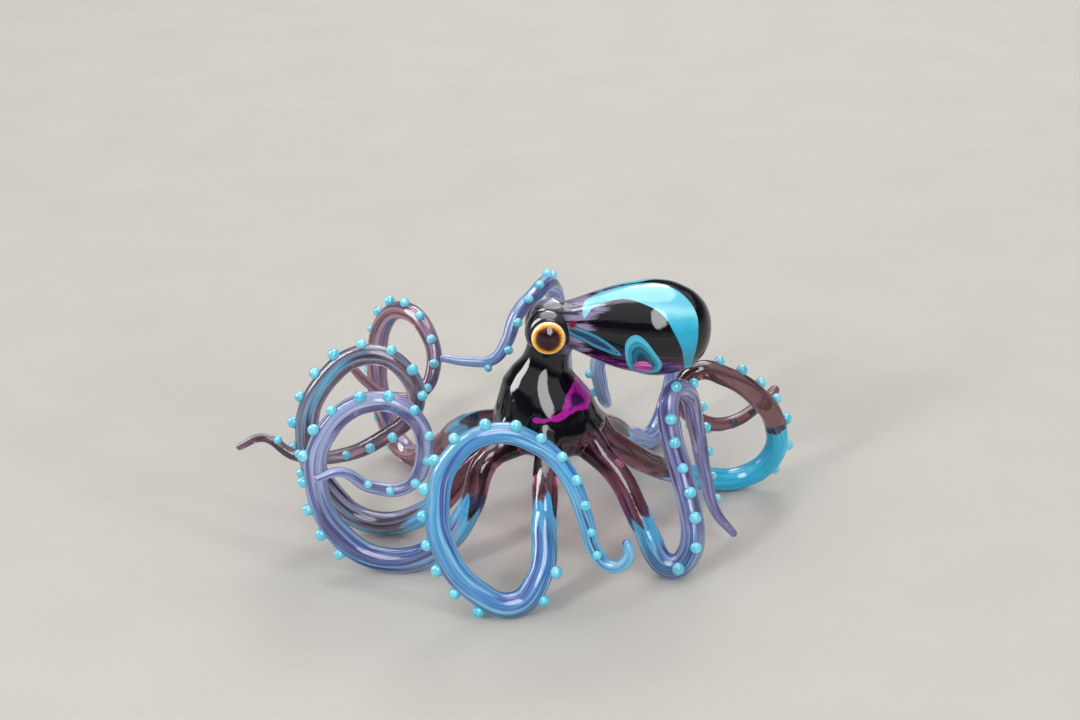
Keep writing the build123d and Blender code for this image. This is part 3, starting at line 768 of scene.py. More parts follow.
def amethyst_and_black():
    """Legs, collar and bell: amethyst with a painted pale rim highlight below a height of 30 mm,
    black above 34 mm, with a magenta window, and on the head, above 50 to 54 mm, lilac threads
    that on the crown are a painted sheen."""
    material, tree = empty_material("amethyst_body_glass")
    in_mm = places_in_mm(tree)
    height = add(tree, "SeparateXYZ", in_mm, out=2)
    leg, blue_tint, blue, _ = leg_glass(tree, straightened(tree)[1])
    tint = add(tree, "Mix", {0: blue, 6: leg, 7: blue_tint}, **BLEND)
    wander = add(tree, "TexNoise", in_mm, {"Scale": 1 / CLOUD_WIDTH, "Detail": 2.0})
    dark = add(tree, "MapRange", swayed(tree, height, wander, 9.0), 30.0, 34.0, **SOFT)
    tint = add(tree, "Mix", {0: dark, 6: tint, 7: colour("#08060b")}, **BLEND)
    # on the head: lilac threads, and on the crown a painted lilac sheen
    high = add(tree, "MapRange", height, 50.0, 54.0, **SOFT)
    haze_and_sheen = add(tree, "Math", neck_threads_and_sheen(tree, in_mm)[3], high, operation="MULTIPLY")
    tint = add(tree, "Mix", {0: haze_and_sheen, 6: tint, 7: colour(HAZE_AND_SHEEN)}, **BLEND)
    torn = add(tree, "TexNoise", in_mm, {"Scale": 1 / FRAY_WIDTH, "Detail": 1.0})
    inside = add(tree, "Attribute", out="Fac", attribute_name="window")
    frayed = swayed(tree, inside, torn, 2.2)
    magenta = laid_over(tree, colour("#a81c92"), colour("#3a0a4a"), frayed, 0.9, 1.6)
    window = add(tree, "MapRange", frayed, -0.1, 0.15, **SOFT)
    tint = add(tree, "Mix", {0: window, 6: tint, 7: magenta}, **BLEND)
    solid = blue
    for cover in (dark, window):
        solid = add(tree, "Math", solid, cover, operation="MAXIMUM")
    through = add(tree, "Math", 1.0, solid, operation="SUBTRACT")
    shader = add(
        tree, "BsdfPrincipled", {"Base Color": tint, "Transmission Weight": through},
        POLISHED, DEEP,
    )
    add(tree, "OutputMaterial", shader)
    return material


BODY_GLASS = amethyst_and_black()
print("body glass:", len(BODY_GLASS.node_tree.nodes), "nodes")

# %% [markdown]
# ## Opaque bead glass
# The beads are dots of opaque turquoise rod, touched on hot and left to round off. Opaque
# glass is a little milky, so light goes in and spreads about half a millimetre, and its
# face is not as sharp a mirror as that of clear glass.

# %% Bead glass
def opaque_turquoise():
    """Turquoise with faint clouds of 2.5 mm, milky, under a thin clear coat."""
    material, tree = empty_material("opaque_turquoise_glass")
    spot = add(tree, "TexCoord", out="Object")
    cloud = add(tree, "TexNoise", spot, {"Scale": 1 / (2.5 * MM), "Detail": 2.0})
    tint = add(tree, "ValToRGB", cloud, stops=[
        (0.30, "#50bedb"), (0.50, "#70d0e7"), (0.70, "#96e0ef"),
    ])
    shader = add(tree, "BsdfPrincipled", {
        "Base Color": tint, "Roughness": 0.12, "IOR": 1.5,
        "Subsurface Weight": 0.25, "Subsurface Radius": (0.0005, 0.0006, 0.0006),
        "Coat Weight": 0.4, "Coat Roughness": 0.04,
    })
    add(tree, "OutputMaterial", shader)
    return material


BEAD_GLASS = opaque_turquoise()
print("bead glass:", BEAD_GLASS.name)

# %% [markdown]
# ## Turned core of the body
# On the real piece the legs, the collar and the bell were melted into each other. The
# collar and the bell are round, so they are one profile that the spin tool turns about
# an upright axis. The profile is drawn as a row of points, in shares of the bell's
# size, and a flowing line through them takes out every corner.

# %% Turned profiles
NEAR_AXIS = 0.01  # mm, so close to the axis that the spin closes the pole


def upright(*points):
    """Profile points given as (out, up), as places of the x-z plane."""
    return [np.array([out, 0.0, up]) for out, up in points]


def smooth_profile(points, count=48):
    """Fine places along a flowing line through (out, up) points, in mm."""
    fine = flowing_line(upright(*points), step=0.2)
    return fine[np.linspace(0, len(fine) - 1, count).astype(int)]


def turned_shape(profile, around=96):
    """Spins a profile of the x-z plane round the z axis."""
    select_only()
    bpy.ops.mesh.primitive_plane_add(size=MM)
    shape = bpy.context.object
    in_edit_mode(shape, (bpy.ops.mesh.delete, dict(type="VERT")))
    edges = [(k, k + 1) for k in range(len(profile) - 1)]
    shape.data.from_pydata([Vector(place) * MM for place in profile], edges, [])
    in_edit_mode(
        shape,
        (bpy.ops.mesh.spin, dict(steps=around, angle=math.tau, center=(0, 0, 0), axis=(0, 0, 1))),
        (bpy.ops.mesh.select_all, dict(action="SELECT")),
        (bpy.ops.mesh.remove_doubles, dict(threshold=0.00002)),
        (bpy.ops.mesh.normals_make_consistent, dict(inside=False)),
    )
    bpy.ops.object.shade_smooth()
    return shape


# the bell as (share of its height, share of its radius)
BELL_SHARES = [
    (0.00, 1.02), (0.09, 0.965), (0.16, 0.915), (0.22, 0.86), (0.28, 0.785), (0.34, 0.70),
    (0.41, 0.58), (0.48, 0.48), (0.55, 0.43), (0.66, 0.43), (0.81, 0.45), (0.94, 0.31),
    (1.00, 0.00),
]
collar_places = [
    (NEAR_AXIS, COLLAR_FLOOR), (COLLAR_UNDER * 0.6, COLLAR_FLOOR + 0.6),
    (COLLAR_UNDER, COLLAR_FLOOR + 2.6), (COLLAR_RADIUS - 1.2, 31.4),
]
bell_places = [(BELL_RADIUS * out, COLLAR_TOP + BELL_HEIGHT * up) for up, out in BELL_SHARES]
body_core = turned_shape(smooth_profile(collar_places + bell_places, 90))
body_core.location = Vector(BODY) * MM
print("body core:", len(body_core.data.vertices), "vertices")

# %% [markdown]
# ## Legs, webs and sleeve
# Each leg is a stretch of its arm's rod. Soft webs stand between the legs and the
# shoulder: short thick rods along a ridge from the bell down on to the leg, which fill
# the corner there. A short sleeve runs from the head on to the mantle, so that no crease
# is left at the neck.

# %% Legs, webs and sleeve
OVERLAP = 0.008  # share of an arm by which leg and coil run into each other
WEB_REACH = 20.0  # mm from the body's axis at which a web ends on its leg


def along_mantle(shape):
    """Lays a turned shape along the mantle's axis."""
    shape.rotation_euler = (0, math.radians(90 + MANTLE_DROOP), 0)
    shape.location = Vector(BODY + raised(MANTLE_HEIGHT)) * MM


def web_ridge(line):
    """The centre line of the web that runs from the shoulder down on to a leg."""
    out = line["places"] - BODY
    k = int(np.argmax(np.linalg.norm(out[:, :2], axis=1) > WEB_REACH))
    heading = unit(out[k] * np.array([1, 1, 0]))
    # from high inside the bell, out over the shoulder and down on to the leg, in mm
    climb = flowing_line([
        BODY + heading * 5.0 + raised(43.0),
        BODY + heading * 9.8 + raised(35.5),
        line["places"][k // 2] + raised(1.2),
        line["places"][k] - line["outer"][k] * 0.2,
    ])
    share = np.linspace(0, 1, len(climb))
    return dict(
        places=climb, share=share, radius=3.3 - 0.6 * share, gone=share * 30, ways=headings(climb)
    )


legs = [
    pulled_rod(LINES[name], 0.0, arm["leg"] + OVERLAP, tucked=0.15, waver=0.0)
    for name, arm in ARMS.items()
]
webs = [pulled_rod(web_ridge(line), 0.0, 1.0, waver=0.0) for line in LINES.values()]
sleeve = turned_shape(smooth_profile(
    [(NEAR_AXIS, 0.5), (3.9, 0.6), (5.6, 4.0), (5.9, 5.6), (6.15, 6.6), (5.4, 7.0),
     (NEAR_AXIS, 7.0)],
    40,
))
along_mantle(sleeve)
print("legs:", len(legs), "webs:", len(webs))

# %% [markdown]
# ## One melted skin
# All is joined, and a voxel remesh gives it one skin. The bell leans a little to the
# left between the collar and the head. Then a smoothing melts the joints: it is strong
# only where a vertex group says so, near the collar, the shoulder and the neck, and a
# light one goes over everything, as the last flame does.

# %% Melted body
def join(pieces):
    """Joins meshes into the first one."""
    select_only(*pieces)
    bpy.ops.object.join()
    return bpy.context.object


def rising(value, start, full):
    """0 up to start, 1 from full on, and even steps between."""
    return np.clip((value - start) / (full - start), 0, 1)


body = join([body_core, sleeve] + legs + webs)
bpy.ops.object.transform_apply(location=True, rotation=True, scale=True)
skin = body.modifiers.new("one_skin", "REMESH")
skin.mode = "VOXEL"
skin.voxel_size = 0.45 * MM
skin.use_smooth_shade = True
bpy.ops.object.modifier_apply(modifier="one_skin")

points = mesh_points(body.data)
heights = points[:, 2]
lean = np.interp(heights, [32, 36, 40, 44, 47, 50, 55], [0, 1.4, 1.8, 2.9, 2.9, 1.5, 0])
points[:, 0] -= lean * rising(np.linalg.norm(points[:, :2] - BODY[:2], axis=1), 19, 14)
body.data.vertices.foreach_set("co", (points * MM).astype(np.float32).ravel())

from_axis = np.linalg.norm(points[:, :2] - BODY[:2], axis=1)
melted = np.maximum.reduce([
    rising(from_axis, 22, 16) * rising(heights, 38, 33),
    rising(points[:, 0] - BODY[0], 2.5, 4.5) * rising(heights, 47, 51),
    0.7 * rising(from_axis, 16, 13) * rising(heights, 38, 42) * rising(heights, 57, 53),
])
melt = body.vertex_groups.new(name="melt")
for index in np.flatnonzero(melted):
    melt.add([int(index)], float(melted[index]), "REPLACE")
for label, group, rounds in (("melted_joints", "melt", 30), ("fire_polish", "", 4)):
    relax = body.modifiers.new(label, "SMOOTH")
    relax.factor = 0.5
    relax.iterations = rounds
    relax.vertex_group = group
    bpy.ops.object.modifier_apply(modifier=label)
body.vertex_groups.clear()
print("melted vertices:", np.count_nonzero(melted), "of", len(melted))

# %% [markdown]
# ## Outlines drawn on a piece
# A marking is drawn as a few points round its outline, and a cardinal spline makes them
# flow. Every vertex stores how far inside the outline it is, in mm. A glass turns that
# into a border as soft or as sharp as it needs, and the edge stays crisp however close
# the camera comes. The mantle and the head are drawn on as seen square from the side.

# %% Outlines
# the camera looks down by this much, and the outlines were judged in its view
TILT = math.radians(22)


def rounded(points, count=200):
    """A closed flowing outline through the points, by cardinal splines."""
    ring = np.array(points)
    n = len(ring)
    out = []
    for k in range(n):
        a, b, c, d = ring[k - 1], ring[k], ring[(k + 1) % n], ring[(k + 2) % n]
        bend, drift = 2 * a - 5 * b + 4 * c - d, 3 * b - a - 3 * c + d
        for t in np.linspace(0, 1, max(4, count // n), endpoint=False):
            out.append(0.5 * (2 * b + (c - a) * t + bend * t**2 + drift * t**3))
    return np.array(out)


def distance_inside(points, outline):
    """Distance of 2-D points from an outline, above zero inside it."""
    best = np.full(len(points), 1e9)
    inside = np.zeros(len(points), bool)
    for a, b in zip(outline, np.roll(outline, -1, axis=0)):
        ab = b - a
        t = np.clip(((points - a) @ ab) / (ab @ ab + 1e-12), 0, 1)
        best = np.minimum(best, np.linalg.norm(points - (a + t[:, None] * ab), axis=1))
        crosses = (a[1] > points[:, 1]) != (b[1] > points[:, 1])
        x = a[0] + (points[:, 1] - a[1]) * (b[0] - a[0]) / (b[1] - a[1] + 1e-12)
        inside ^= crosses & (points[:, 0] < x)
    return np.where(inside, best, -best)


def keep_drawn_places(piece):
    """Stores how far each vertex is along the mantle and up on its side, in mm, and returns
    both. The far side mirrors the near one."""
    droop = math.radians(MANTLE_DROOP)
    mantle_way = np.array([math.cos(droop), 0, -math.sin(droop)])
    up_way = np.cross(np.array([0, -math.cos(TILT), math.sin(TILT)]), mantle_way)
    places = mesh_points(piece.data) - (BODY + raised(MANTLE_HEIGHT))
    near_side = np.where((places[:, 1] < 0)[:, None], places, places * np.array([1, -1, 1]))
    drawn = np.stack([near_side @ mantle_way, near_side @ up_way], axis=1)
    keep_number(piece, "drawn_along", drawn[:, 0])
    keep_number(piece, "drawn_up", drawn[:, 1])
    return drawn


# the magenta window on the front of the bell, as (across, up) in mm from the body's axis
SWOOSH = [
    (-4.6, 38.1), (0.1, 38.9), (2.8, 40.3), (3.9, 43.6), (5.9, 44.6), (9.2, 41.2), (8.5, 38.8),
    (5.9, 38.7), (2.8, 38.1), (-1.2, 37.4),
]
NOWHERE = -9.0  # mm, well outside an outline
places = mesh_points(body.data) - BODY
window = distance_inside(places[:, [0, 2]], rounded(SWOOSH))
keep_number(body, "window", np.where(places[:, 1] < 0, window, NOWHERE))
keep_drawn_places(body)
keep_rod_place(body, list(ARMS))
print("deepest place in the magenta window, in mm:", round(float(window.max()), 1))

# %% [markdown]
# ## Handing a piece over
# A finished piece gets its name and its glass, rides on the figurine's only body, and
# stands for the solids that it was made from. Its place, turn and size are applied,
# because a pattern follows the mesh and not the object.

# %% Finished body
def finish_piece(piece, name, material, slot, *nodes):
    """Names a finished mesh, gives it its glass and puts it in the place of CAD nodes."""
    piece.name = name
    piece.data.name = name
    piece.data.materials.clear()
    piece.data.materials.append(material)
    select_only(piece)
    bpy.ops.object.transform_apply(location=True, rotation=True, scale=True)
    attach(piece, "root")
    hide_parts(*nodes)
    print(name, len(piece.data.polygons), "faces")


leg_nodes = ["arm_" + name + "_leg" for name in ARMS]
finish_piece(body, "body_and_legs", BODY_GLASS, "body_black", "arm_collar", "body_bell", *leg_nodes)

# %% [markdown]
# ## Curled arms
# Each coil starts where its leg ends, a little thinner there so that it slips under the
# body's skin, and is drawn in one sweep with a rounded tip.

# %% Coils
for number, name in enumerate(ARMS):
    coil = pulled_rod(
        LINES[name], ARMS[name]["leg"] - OVERLAP, 1.0, hidden=0.25, domed=True, seed=float(number)
    )
    keep_rod_place(coil, [name])
    slot = "coil_brown" if name in ("left", "back_left", "back_right") else "coil_lavender"
    finish_piece(coil, "curled_" + name, ARM_GLASS[name], slot, "arm_" + name + "_coil")

# %% [markdown]
# ## Sucker beads
# One bead is made once: a ball that is pressed a little flat and whose foot spreads where
# it melted on. Each arm gets its own row of copies, evenly spaced on the side of the rod
# that the row leans to, a little larger or smaller here and there as hand-set dots are.

# %% One bead
FOOT_SPREAD, PRESSED = 0.25, 0.94


def bead_form():
    """A bead of radius 1, its foot down."""
    select_only()
    bpy.ops.mesh.primitive_uv_sphere_add(segments=16, ring_count=10, radius=1)
    bead = bpy.context.object
    for vertex in bead.data.vertices:
        low = max(0.0, -vertex.co.z)
        vertex.co.x *= 1 + FOOT_SPREAD * low
        vertex.co.y *= 1 + FOOT_SPREAD * low
        vertex.co.z *= PRESSED
    return bead


form = bead_form()
base_points = np.array([v.co for v in form.data.vertices])
print("bead:", len(form.data.polygons), "faces")

# %% Bead rows
SUNK = 0.42  # a bead's middle stands this share of its radius off the rod
TABLE_GAP = 0.15  # mm that a bead keeps from the table, or it was left off


def placed_bead(line, k, up, size):
    """A copy of the bead at a place of the line, standing up from the rod."""
    way = line["ways"][k]
    centre = line["places"][k] + up * (line["radius"][k] + size * SUNK)
    if centre[2] - size < TABLE_GAP:
        return None
    bead = form.copy()
    bead.data = form.data.copy()
    bpy.context.collection.objects.link(bead)
    turn = np.stack([way, np.cross(up, way), up], axis=1)
    placed = (base_points * size) @ turn.T + centre
    bead.data.vertices.foreach_set("co", (placed * MM).astype(np.float32).ravel())
    return bead


def bead_row(line, arm):
    """The beads of one arm, from the first share of its coil to the last."""
    first, last = arm["beads"]
    coil_length = line["gone"][-1] * (1 - arm["leg"])
    count = int(coil_length * (last - first) / BEAD_PITCH) + 1
    curl = level(arm["curl"])
    beads = []
    for number, share in enumerate(np.linspace(first, last, count)):
        k = int(round((arm["leg"] + (1 - arm["leg"]) * share) * (len(line["places"]) - 1)))
        way = line["ways"][k]
        flat = unit(curl - way * (curl @ way))
        lean = math.radians(np.interp(share, [0, 0.5, 1], arm["lean"]))
        up = unit(np.cross(way, flat)) * math.cos(lean) + flat * math.sin(lean)
        rod = line["radius"][k]
        # a bead is larger on a thicker rod, and each is up to 7 percent off
        size = (0.66 + 0.27 * rod) * (1 + 0.07 * math.sin(number * 2.3 + rod * 5))
        beads.append(placed_bead(line, k, up, size))
    return [bead for bead in beads if bead]


total = 0
for name, arm in ARMS.items():
    beads = bead_row(LINES[name], arm)
    total += len(beads)
    row = join(beads)
    bpy.ops.object.shade_smooth()
    finish_piece(row, "beads_" + name, BEAD_GLASS, "sucker_turquoise", "arm_" + name + "_suckers")
bpy.data.objects.remove(form)
print("beads:", total)

# %% [markdown]
# ## Mantle
# The mantle is a drop of black-purple glass that hangs out from the head, a turned
# profile as the bell is. Its markings lie flush under the polished skin, so they are not
# separate shapes here: a broad turquoise band, a leaf with a pink heart and rings of
# teal, and a slim turquoise line by the neck.

# %% Mantle form
MANTLE_SHARES = [
    (0.00, 0.36), (0.11, 0.50), (0.24, 0.67), (0.37, 0.83), (0.52, 0.945),
    (0.65, 1.00), (0.81, 0.885), (0.92, 0.66), (0.98, 0.36), (1.00, 0.00),
]
mantle_mm = np.array([MANTLE_LENGTH, MANTLE_RADIUS])
drop_points = [(NEAR_AXIS, 0.0), (MANTLE_RADIUS * 0.25, 0.0)] + [
    (MANTLE_RADIUS * out, MANTLE_LENGTH * along) for along, out in MANTLE_SHARES
]
mantle = turned_shape(smooth_profile(drop_points, 120), 144)
along_mantle(mantle)
bpy.context.view_layer.update()
bpy.ops.object.transform_apply(location=True, rotation=True, scale=True)
print("mantle:", len(mantle.data.vertices), "vertices")

# %% [markdown]
# ## Markings of the mantle
# The outlines are drawn in shares of the mantle's length and radius. The leaf has rings
# that keep its form: each vertex stores how far it is from the leaf's heart, as a share
# of the way to the outline.

# %% Markings
MARKINGS = {
    "band": [
        (0.205, 0.49), (0.43, 0.80), (0.62, 0.88), (0.75, 0.77), (0.845, 0.51), (0.89, 0.23),
        (0.90, -0.06), (0.895, -0.40), (0.87, -0.80), (0.835, -0.82), (0.80, -0.44),
        (0.74, -0.09), (0.685, 0.18), (0.59, 0.39), (0.43, 0.525), (0.26, 0.36), (0.19, 0.10),
    ],
    "leaf": [
        (0.45, -0.42), (0.475, -0.25), (0.52, -0.20), (0.575, -0.31), (0.63, -0.52),
        (0.685, -0.76), (0.66, -0.93), (0.53, -0.96), (0.47, -0.78),
    ],
    "heart": [
        (0.515, -0.79), (0.545, -0.72), (0.59, -0.73), (0.625, -0.83), (0.60, -0.93),
        (0.54, -0.92),
    ],
    "neck_line": [
        (0.09, -0.03), (0.20, -0.13), (0.33, -0.33), (0.44, -0.58), (0.42, -0.66), (0.31, -0.54),
        (0.19, -0.36), (0.09, -0.22),
    ],
}
LEAF_HEART = (0.578, -0.80)


def ring_share(points, outline, middle):
    """0 at the middle of an outline and 1 on it, so that its rings keep the outline's form."""
    def turn(places):
        return np.arctan2(places[:, 1] - middle[1], places[:, 0] - middle[0])

    edge = outline[np.argsort(turn(outline))]
    far = np.linalg.norm(edge - middle, axis=1)
    limit = np.interp(turn(points), turn(edge), far, period=math.tau)
    return np.linalg.norm(points - middle, axis=1) / limit


drawn = keep_drawn_places(mantle)
for label, outline in MARKINGS.items():
    inside = distance_inside(drawn, rounded(outline) * mantle_mm)
    keep_number(mantle, label, inside)
    print(label, "covers", np.count_nonzero(inside > 0), "vertices")
leaf = rounded(MARKINGS["leaf"]) * mantle_mm
keep_number(mantle, "leaf_ring", ring_share(drawn, leaf, np.array(LEAF_HEART) * mantle_mm))

# %% [markdown]
# ## Mantle glass
# Black glass is a purple so deep that it shows only where it is thin, so streaks of
# purple run along the underside. The markings are laid over it one by one, each with a
# border of a few tenths of a millimetre: the band with lighter and darker sweeps and a
# painted sheen that makes it paler towards its top, the leaf with its rings, the heart in
# threads of pink, the line by the neck with thin lines of its own, and a small red dot
# beside the eye. It is one layer of hard, polished gloss.

# %% Glass of the mantle
RED_SPOT = (12.6, -19.1, 60.3)  # a small red dot between the eye and the mantle, in mm


def mantle_glass():
    """Black glass with purple streaks and the markings laid over it."""
    material, tree = empty_material("black_and_turquoise_glass")
    in_mm = places_in_mm(tree)
    up, flow, threads, haze_and_sheen = neck_threads_and_sheen(tree, in_mm)
    band, leaf, heart, leaf_ring, neck_line = (
        add(tree, "Attribute", out="Fac", attribute_name=name)
        for name in ("band", "leaf", "heart", "leaf_ring", "neck_line")
    )
    low = add(tree, "Math", flow, 3.0, up, operation="MULTIPLY_ADD")
    purple = add(tree, "ValToRGB", threads, stops=[
        (0.36, "#1a0a24"), (0.48, "#4a1c5c"), (0.56, "#8a3a8c"), (0.64, "#2a1238"),
    ])
    tint = laid_over(tree, colour("#08050c"), purple, low, -4.5, -8.5)
    # lilac threads by the neck, and on top a painted lilac sheen
    tint = add(tree, "Mix", {0: haze_and_sheen, 6: tint, 7: colour(HAZE_AND_SHEEN)}, **BLEND)

    # the band's sweeps follow the slow flow, and it grows paler towards its top, where a sheen is
    # painted into its colour
    sweep_and_sheen = add(tree, "Math", flow, 6.0, up, operation="MULTIPLY_ADD")
    sweep_and_sheen = add(tree, "MapRange", sweep_and_sheen, -8.0, 12.0, **SOFT)
    turquoise = add(tree, "ValToRGB", sweep_and_sheen, stops=[
        (0.05, "#2796b8"), (0.40, "#1fa6cc"), (0.60, "#4cc0dc"), (0.78, "#98e4f4"),
        (0.95, "#6ccfe8"),
    ])
    teal = add(tree, "ValToRGB", swayed(tree, leaf_ring, flow, 0.25), stops=[
        (0.30, "#0f3448"), (0.46, "#1f6a86"), (0.56, "#17506a"), (0.66, "#3592b0"),
        (0.74, "#2b829e"), (0.82, "#4cb8d4"), (1.00, "#42acca"),
    ])
    pink = add(tree, "ValToRGB", threads, stops=[
        (0.38, "#a4308c"), (0.48, "#ec86cc"), (0.55, "#d45cb4"), (0.64, "#8c2c80"),
    ])
    lines = swayed(tree, neck_line, flow, 0.7)
    neck = add(tree, "ValToRGB", lines, stops=[
        (0.10, "#0c1626"), (0.28, "#2b789e"), (0.46, "#58aed0"), (0.58, "#1a4460"),
        (0.74, "#3f94bc"), (0.95, "#173a58"),
    ])
    dot_gap = add(tree, "VectorMath", in_mm, RED_SPOT, out="Value", operation="DISTANCE")
    for marking, inside, low, high in (
        (turquoise, band, -0.10, 0.10), (teal, leaf, -0.10, 0.10), (pink, heart, -0.15, 0.25),
        (neck, lines, -0.05, 0.12), (colour("#7a1a2c"), dot_gap, 1.5, 0.5),
    ):
        tint = laid_over(tree, tint, marking, inside, low, high)
    add(tree, "OutputMaterial", add(tree, "BsdfPrincipled", {"Base Color": tint}, POLISHED))
    return material


finish_piece(
    mantle, "mantle_drop", mantle_glass(), "body_black", "mantle", "mantle_band", "mantle_leaf",
    "mantle_heart", "mantle_neck_line",
)

# %% [markdown]
# ## Eye glasses
# An eye is a ball of dark purple glass, a flat dot of amber, a dark pupil and a dome of
# clear glass that magnifies them. The amber is bright at the rim and burnt at the pupil,
# with fine rays where the dark dot drew it out. Under the dome it has no gloss of its
# own. The other glasses have faint clouds of 4 mm.

# %% Glasses of the eye
EYE_HEIGHT, EYE_X = 57.5, BODY[0] - 1.0
PUPIL_EDGE, AMBER_EDGE = 1.9, 4.1  # mm from the eye's axis
RAY_FINENESS = 7.0  # a noise of this scale on the direction gives about 20 rays


def plain_glass(name, code, through, cloudy="#5a3a6a", clouds=0.3, roughness=0.02, mirror=0.5):
    """Glass of one colour with faint clouds of another in it."""
    material, tree = empty_material(name)
    spot = add(tree, "TexCoord", out="Object")
    cloud = add(tree, "TexNoise", spot, {"Scale": 1 / (4 * MM), "Detail": 2.0})
    tint = laid_over(tree, colour(code), colour(cloudy), cloud, 0.35, 0.75, clouds)
    shader = add(tree, "BsdfPrincipled", {
        "Base Color": tint, "Roughness": roughness, "IOR": 1.5, "Transmission Weight": through,
        "Specular IOR Level": mirror,
    })
    add(tree, "OutputMaterial", shader)
    return material


def amber_glass():
    """Amber, bright at the rim and burnt at the pupil, with fine rays."""
    material, tree = empty_material("amber_iris_glass")
    place = add(tree, "Mapping", {
        "Vector": add(tree, "TexCoord", out="Object"), "Location": (-EYE_X, 0, -EYE_HEIGHT),
        "Scale": (1 / MM, 0, 1 / MM),
    })
    radius = add(tree, "VectorMath", place, out="Value", operation="LENGTH")
    way = add(tree, "VectorMath", place, operation="NORMALIZE")
    rays = add(tree, "TexNoise", way, {"Scale": RAY_FINENESS, "Detail": 3.0})
    burnt = swayed(tree, radius, rays, 0.9)
    burnt = add(tree, "MapRange", burnt, PUPIL_EDGE, AMBER_EDGE, **SOFT)
    tint = add(tree, "ValToRGB", burnt, stops=[
        (0.00, "#4a1606"), (0.22, "#8a3c08"), (0.42, "#e6981f"), (0.70, "#ffca58"),
        (1.00, "#ffe8b4"),
    ])
    shader = add(
        tree, "BsdfPrincipled",
        {"Base Color": tint, "Roughness": 0.2, "Specular IOR Level": 0.0},
    )
    add(tree, "OutputMaterial", shader)
    return material


EYE_GLASS = {
    "socket": plain_glass("dark_purple_glass", "#150a1a", 0.25),
    "iris": amber_glass(),
    "pupil": plain_glass("burnt_red_glass", "#280906", 0.0, roughness=0.2, mirror=0.0),
    "lens": plain_glass(
        "clear_dome_glass", "#fbfcfd", 1, cloudy="#dfe6ee", clouds=0.04, roughness=0.0
    ),
}
print("eye glasses:", len(EYE_GLASS))

# %% [markdown]
# ## Eye pieces
# All four pieces of an eye are round about the axis that looks out of the head, so each
# is a turned profile. The dome reaches a little below the amber, so no layer of air lies
# between them, as in fused glass. The far eye is the near one turned to the other side.

# %% Profiles of the eye
SOCKET_STAND, SOCKET_RADIUS, IRIS_RADIUS, IRIS_THICK = 3.0, 5.7, 4.0, 0.8
PUPIL_RADIUS, LENS_RISE = 2.2, 2.1
AXIS = 0.001  # mm, a profile's end on the axis
IRIS_FACE = SOCKET_STAND + math.sqrt(SOCKET_RADIUS**2 - IRIS_RADIUS**2) + IRIS_THICK
IRIS_SEAT = IRIS_FACE - IRIS_THICK
LENS_RADIUS = (IRIS_RADIUS**2 + LENS_RISE**2) / (2 * LENS_RISE)


def arc(radius, centre, start, end, count):
    """Profile points of a ball: (out, up) from one polar angle to another, in degrees."""
    angles = np.radians(np.linspace(start, end, count))
    return upright(*(
        (max(radius * math.sin(a), AXIS), centre + radius * math.cos(a)) for a in angles
    ))


rim = math.degrees(math.asin((IRIS_RADIUS + 0.25) / SOCKET_RADIUS))
cap = math.degrees(math.asin(IRIS_RADIUS / LENS_RADIUS))
seat = SOCKET_STAND + SOCKET_RADIUS * math.cos(math.radians(rim))
EYE_PROFILES = {
    "socket": upright(
        (AXIS, seat - 0.25), (IRIS_RADIUS - 0.2, seat - 0.25), (IRIS_RADIUS + 0.1, seat - 0.08)
    ) + arc(SOCKET_RADIUS, SOCKET_STAND, rim + 1.5, 170, 30) + upright(
        (AXIS, SOCKET_STAND - SOCKET_RADIUS)
    ),
    "iris": upright(
        (AXIS, IRIS_SEAT - 0.5), (IRIS_RADIUS - 0.1, IRIS_SEAT - 0.5), (IRIS_RADIUS, IRIS_SEAT),
        (IRIS_RADIUS - 0.02, IRIS_FACE - 0.25), (IRIS_RADIUS - 0.2, IRIS_FACE - 0.05),
        (IRIS_RADIUS - 0.5, IRIS_FACE), (PUPIL_RADIUS, IRIS_FACE - 0.1), (AXIS, IRIS_FACE - 0.15),
    ),
    "pupil": upright(
        (AXIS, IRIS_FACE - 0.4), (PUPIL_RADIUS, IRIS_FACE - 0.4), (PUPIL_RADIUS, IRIS_FACE),
        (PUPIL_RADIUS * 0.85, IRIS_FACE + 0.15), (PUPIL_RADIUS * 0.5, IRIS_FACE + 0.25),
        (AXIS, IRIS_FACE + 0.3),
    ),
    "lens": arc(LENS_RADIUS, IRIS_FACE + LENS_RISE - LENS_RADIUS, 0, cap + 2, 24) + upright(
        (IRIS_RADIUS - 0.15, IRIS_FACE - 0.35), (AXIS, IRIS_FACE - 0.35)
    ),
}
print("profile points:", {kind: len(profile) for kind, profile in EYE_PROFILES.items()})

# %% Eyes
EYE_SLOTS = {"socket": "socket_dark", "iris": "amber", "pupil": "pupil_dark", "lens": "eye_clear"}
for label, side in (("near", 1), ("far", -1)):
    for kind, profile in EYE_PROFILES.items():
        shape = turned_shape(profile, 64)
        shape.rotation_euler = (math.radians(90 * side), 0, 0)
        shape.location = Vector((EYE_X, BODY[1], EYE_HEIGHT)) * MM
        name = kind + "_" + label
        finish_piece(shape, name, EYE_GLASS[kind], EYE_SLOTS[kind], "eye_" + name)

# %% [markdown]
# ## Floor
# The floor is plain, pale and matt, with a cloud of about 33 mm that is hardly seen. It
# shows through the clear glass and keeps the figurine's shadow.

# %% Floor
FLOOR_CLOUDS = 30.0  # to the metre, so 33 mm each


def pale_floor():
    """A matt warm grey."""
    material, tree = empty_material("pale_floor")
    spot = add(tree, "TexCoord", out="Object")
    cloud = add(tree, "TexNoise", spot, {"Scale": FLOOR_CLOUDS, "Detail": 3.0})
    tint = add(tree, "Mix", {0: cloud, 6: colour("#cbc6be"), 7: colour("#d3cec7")}, **BLEND)
    shader = add(
        tree, "BsdfPrincipled",
        {"Base Color": tint, "Roughness": 0.7, "Specular IOR Level": 0.0},
    )
    add(tree, "OutputMaterial", shader)
    return material


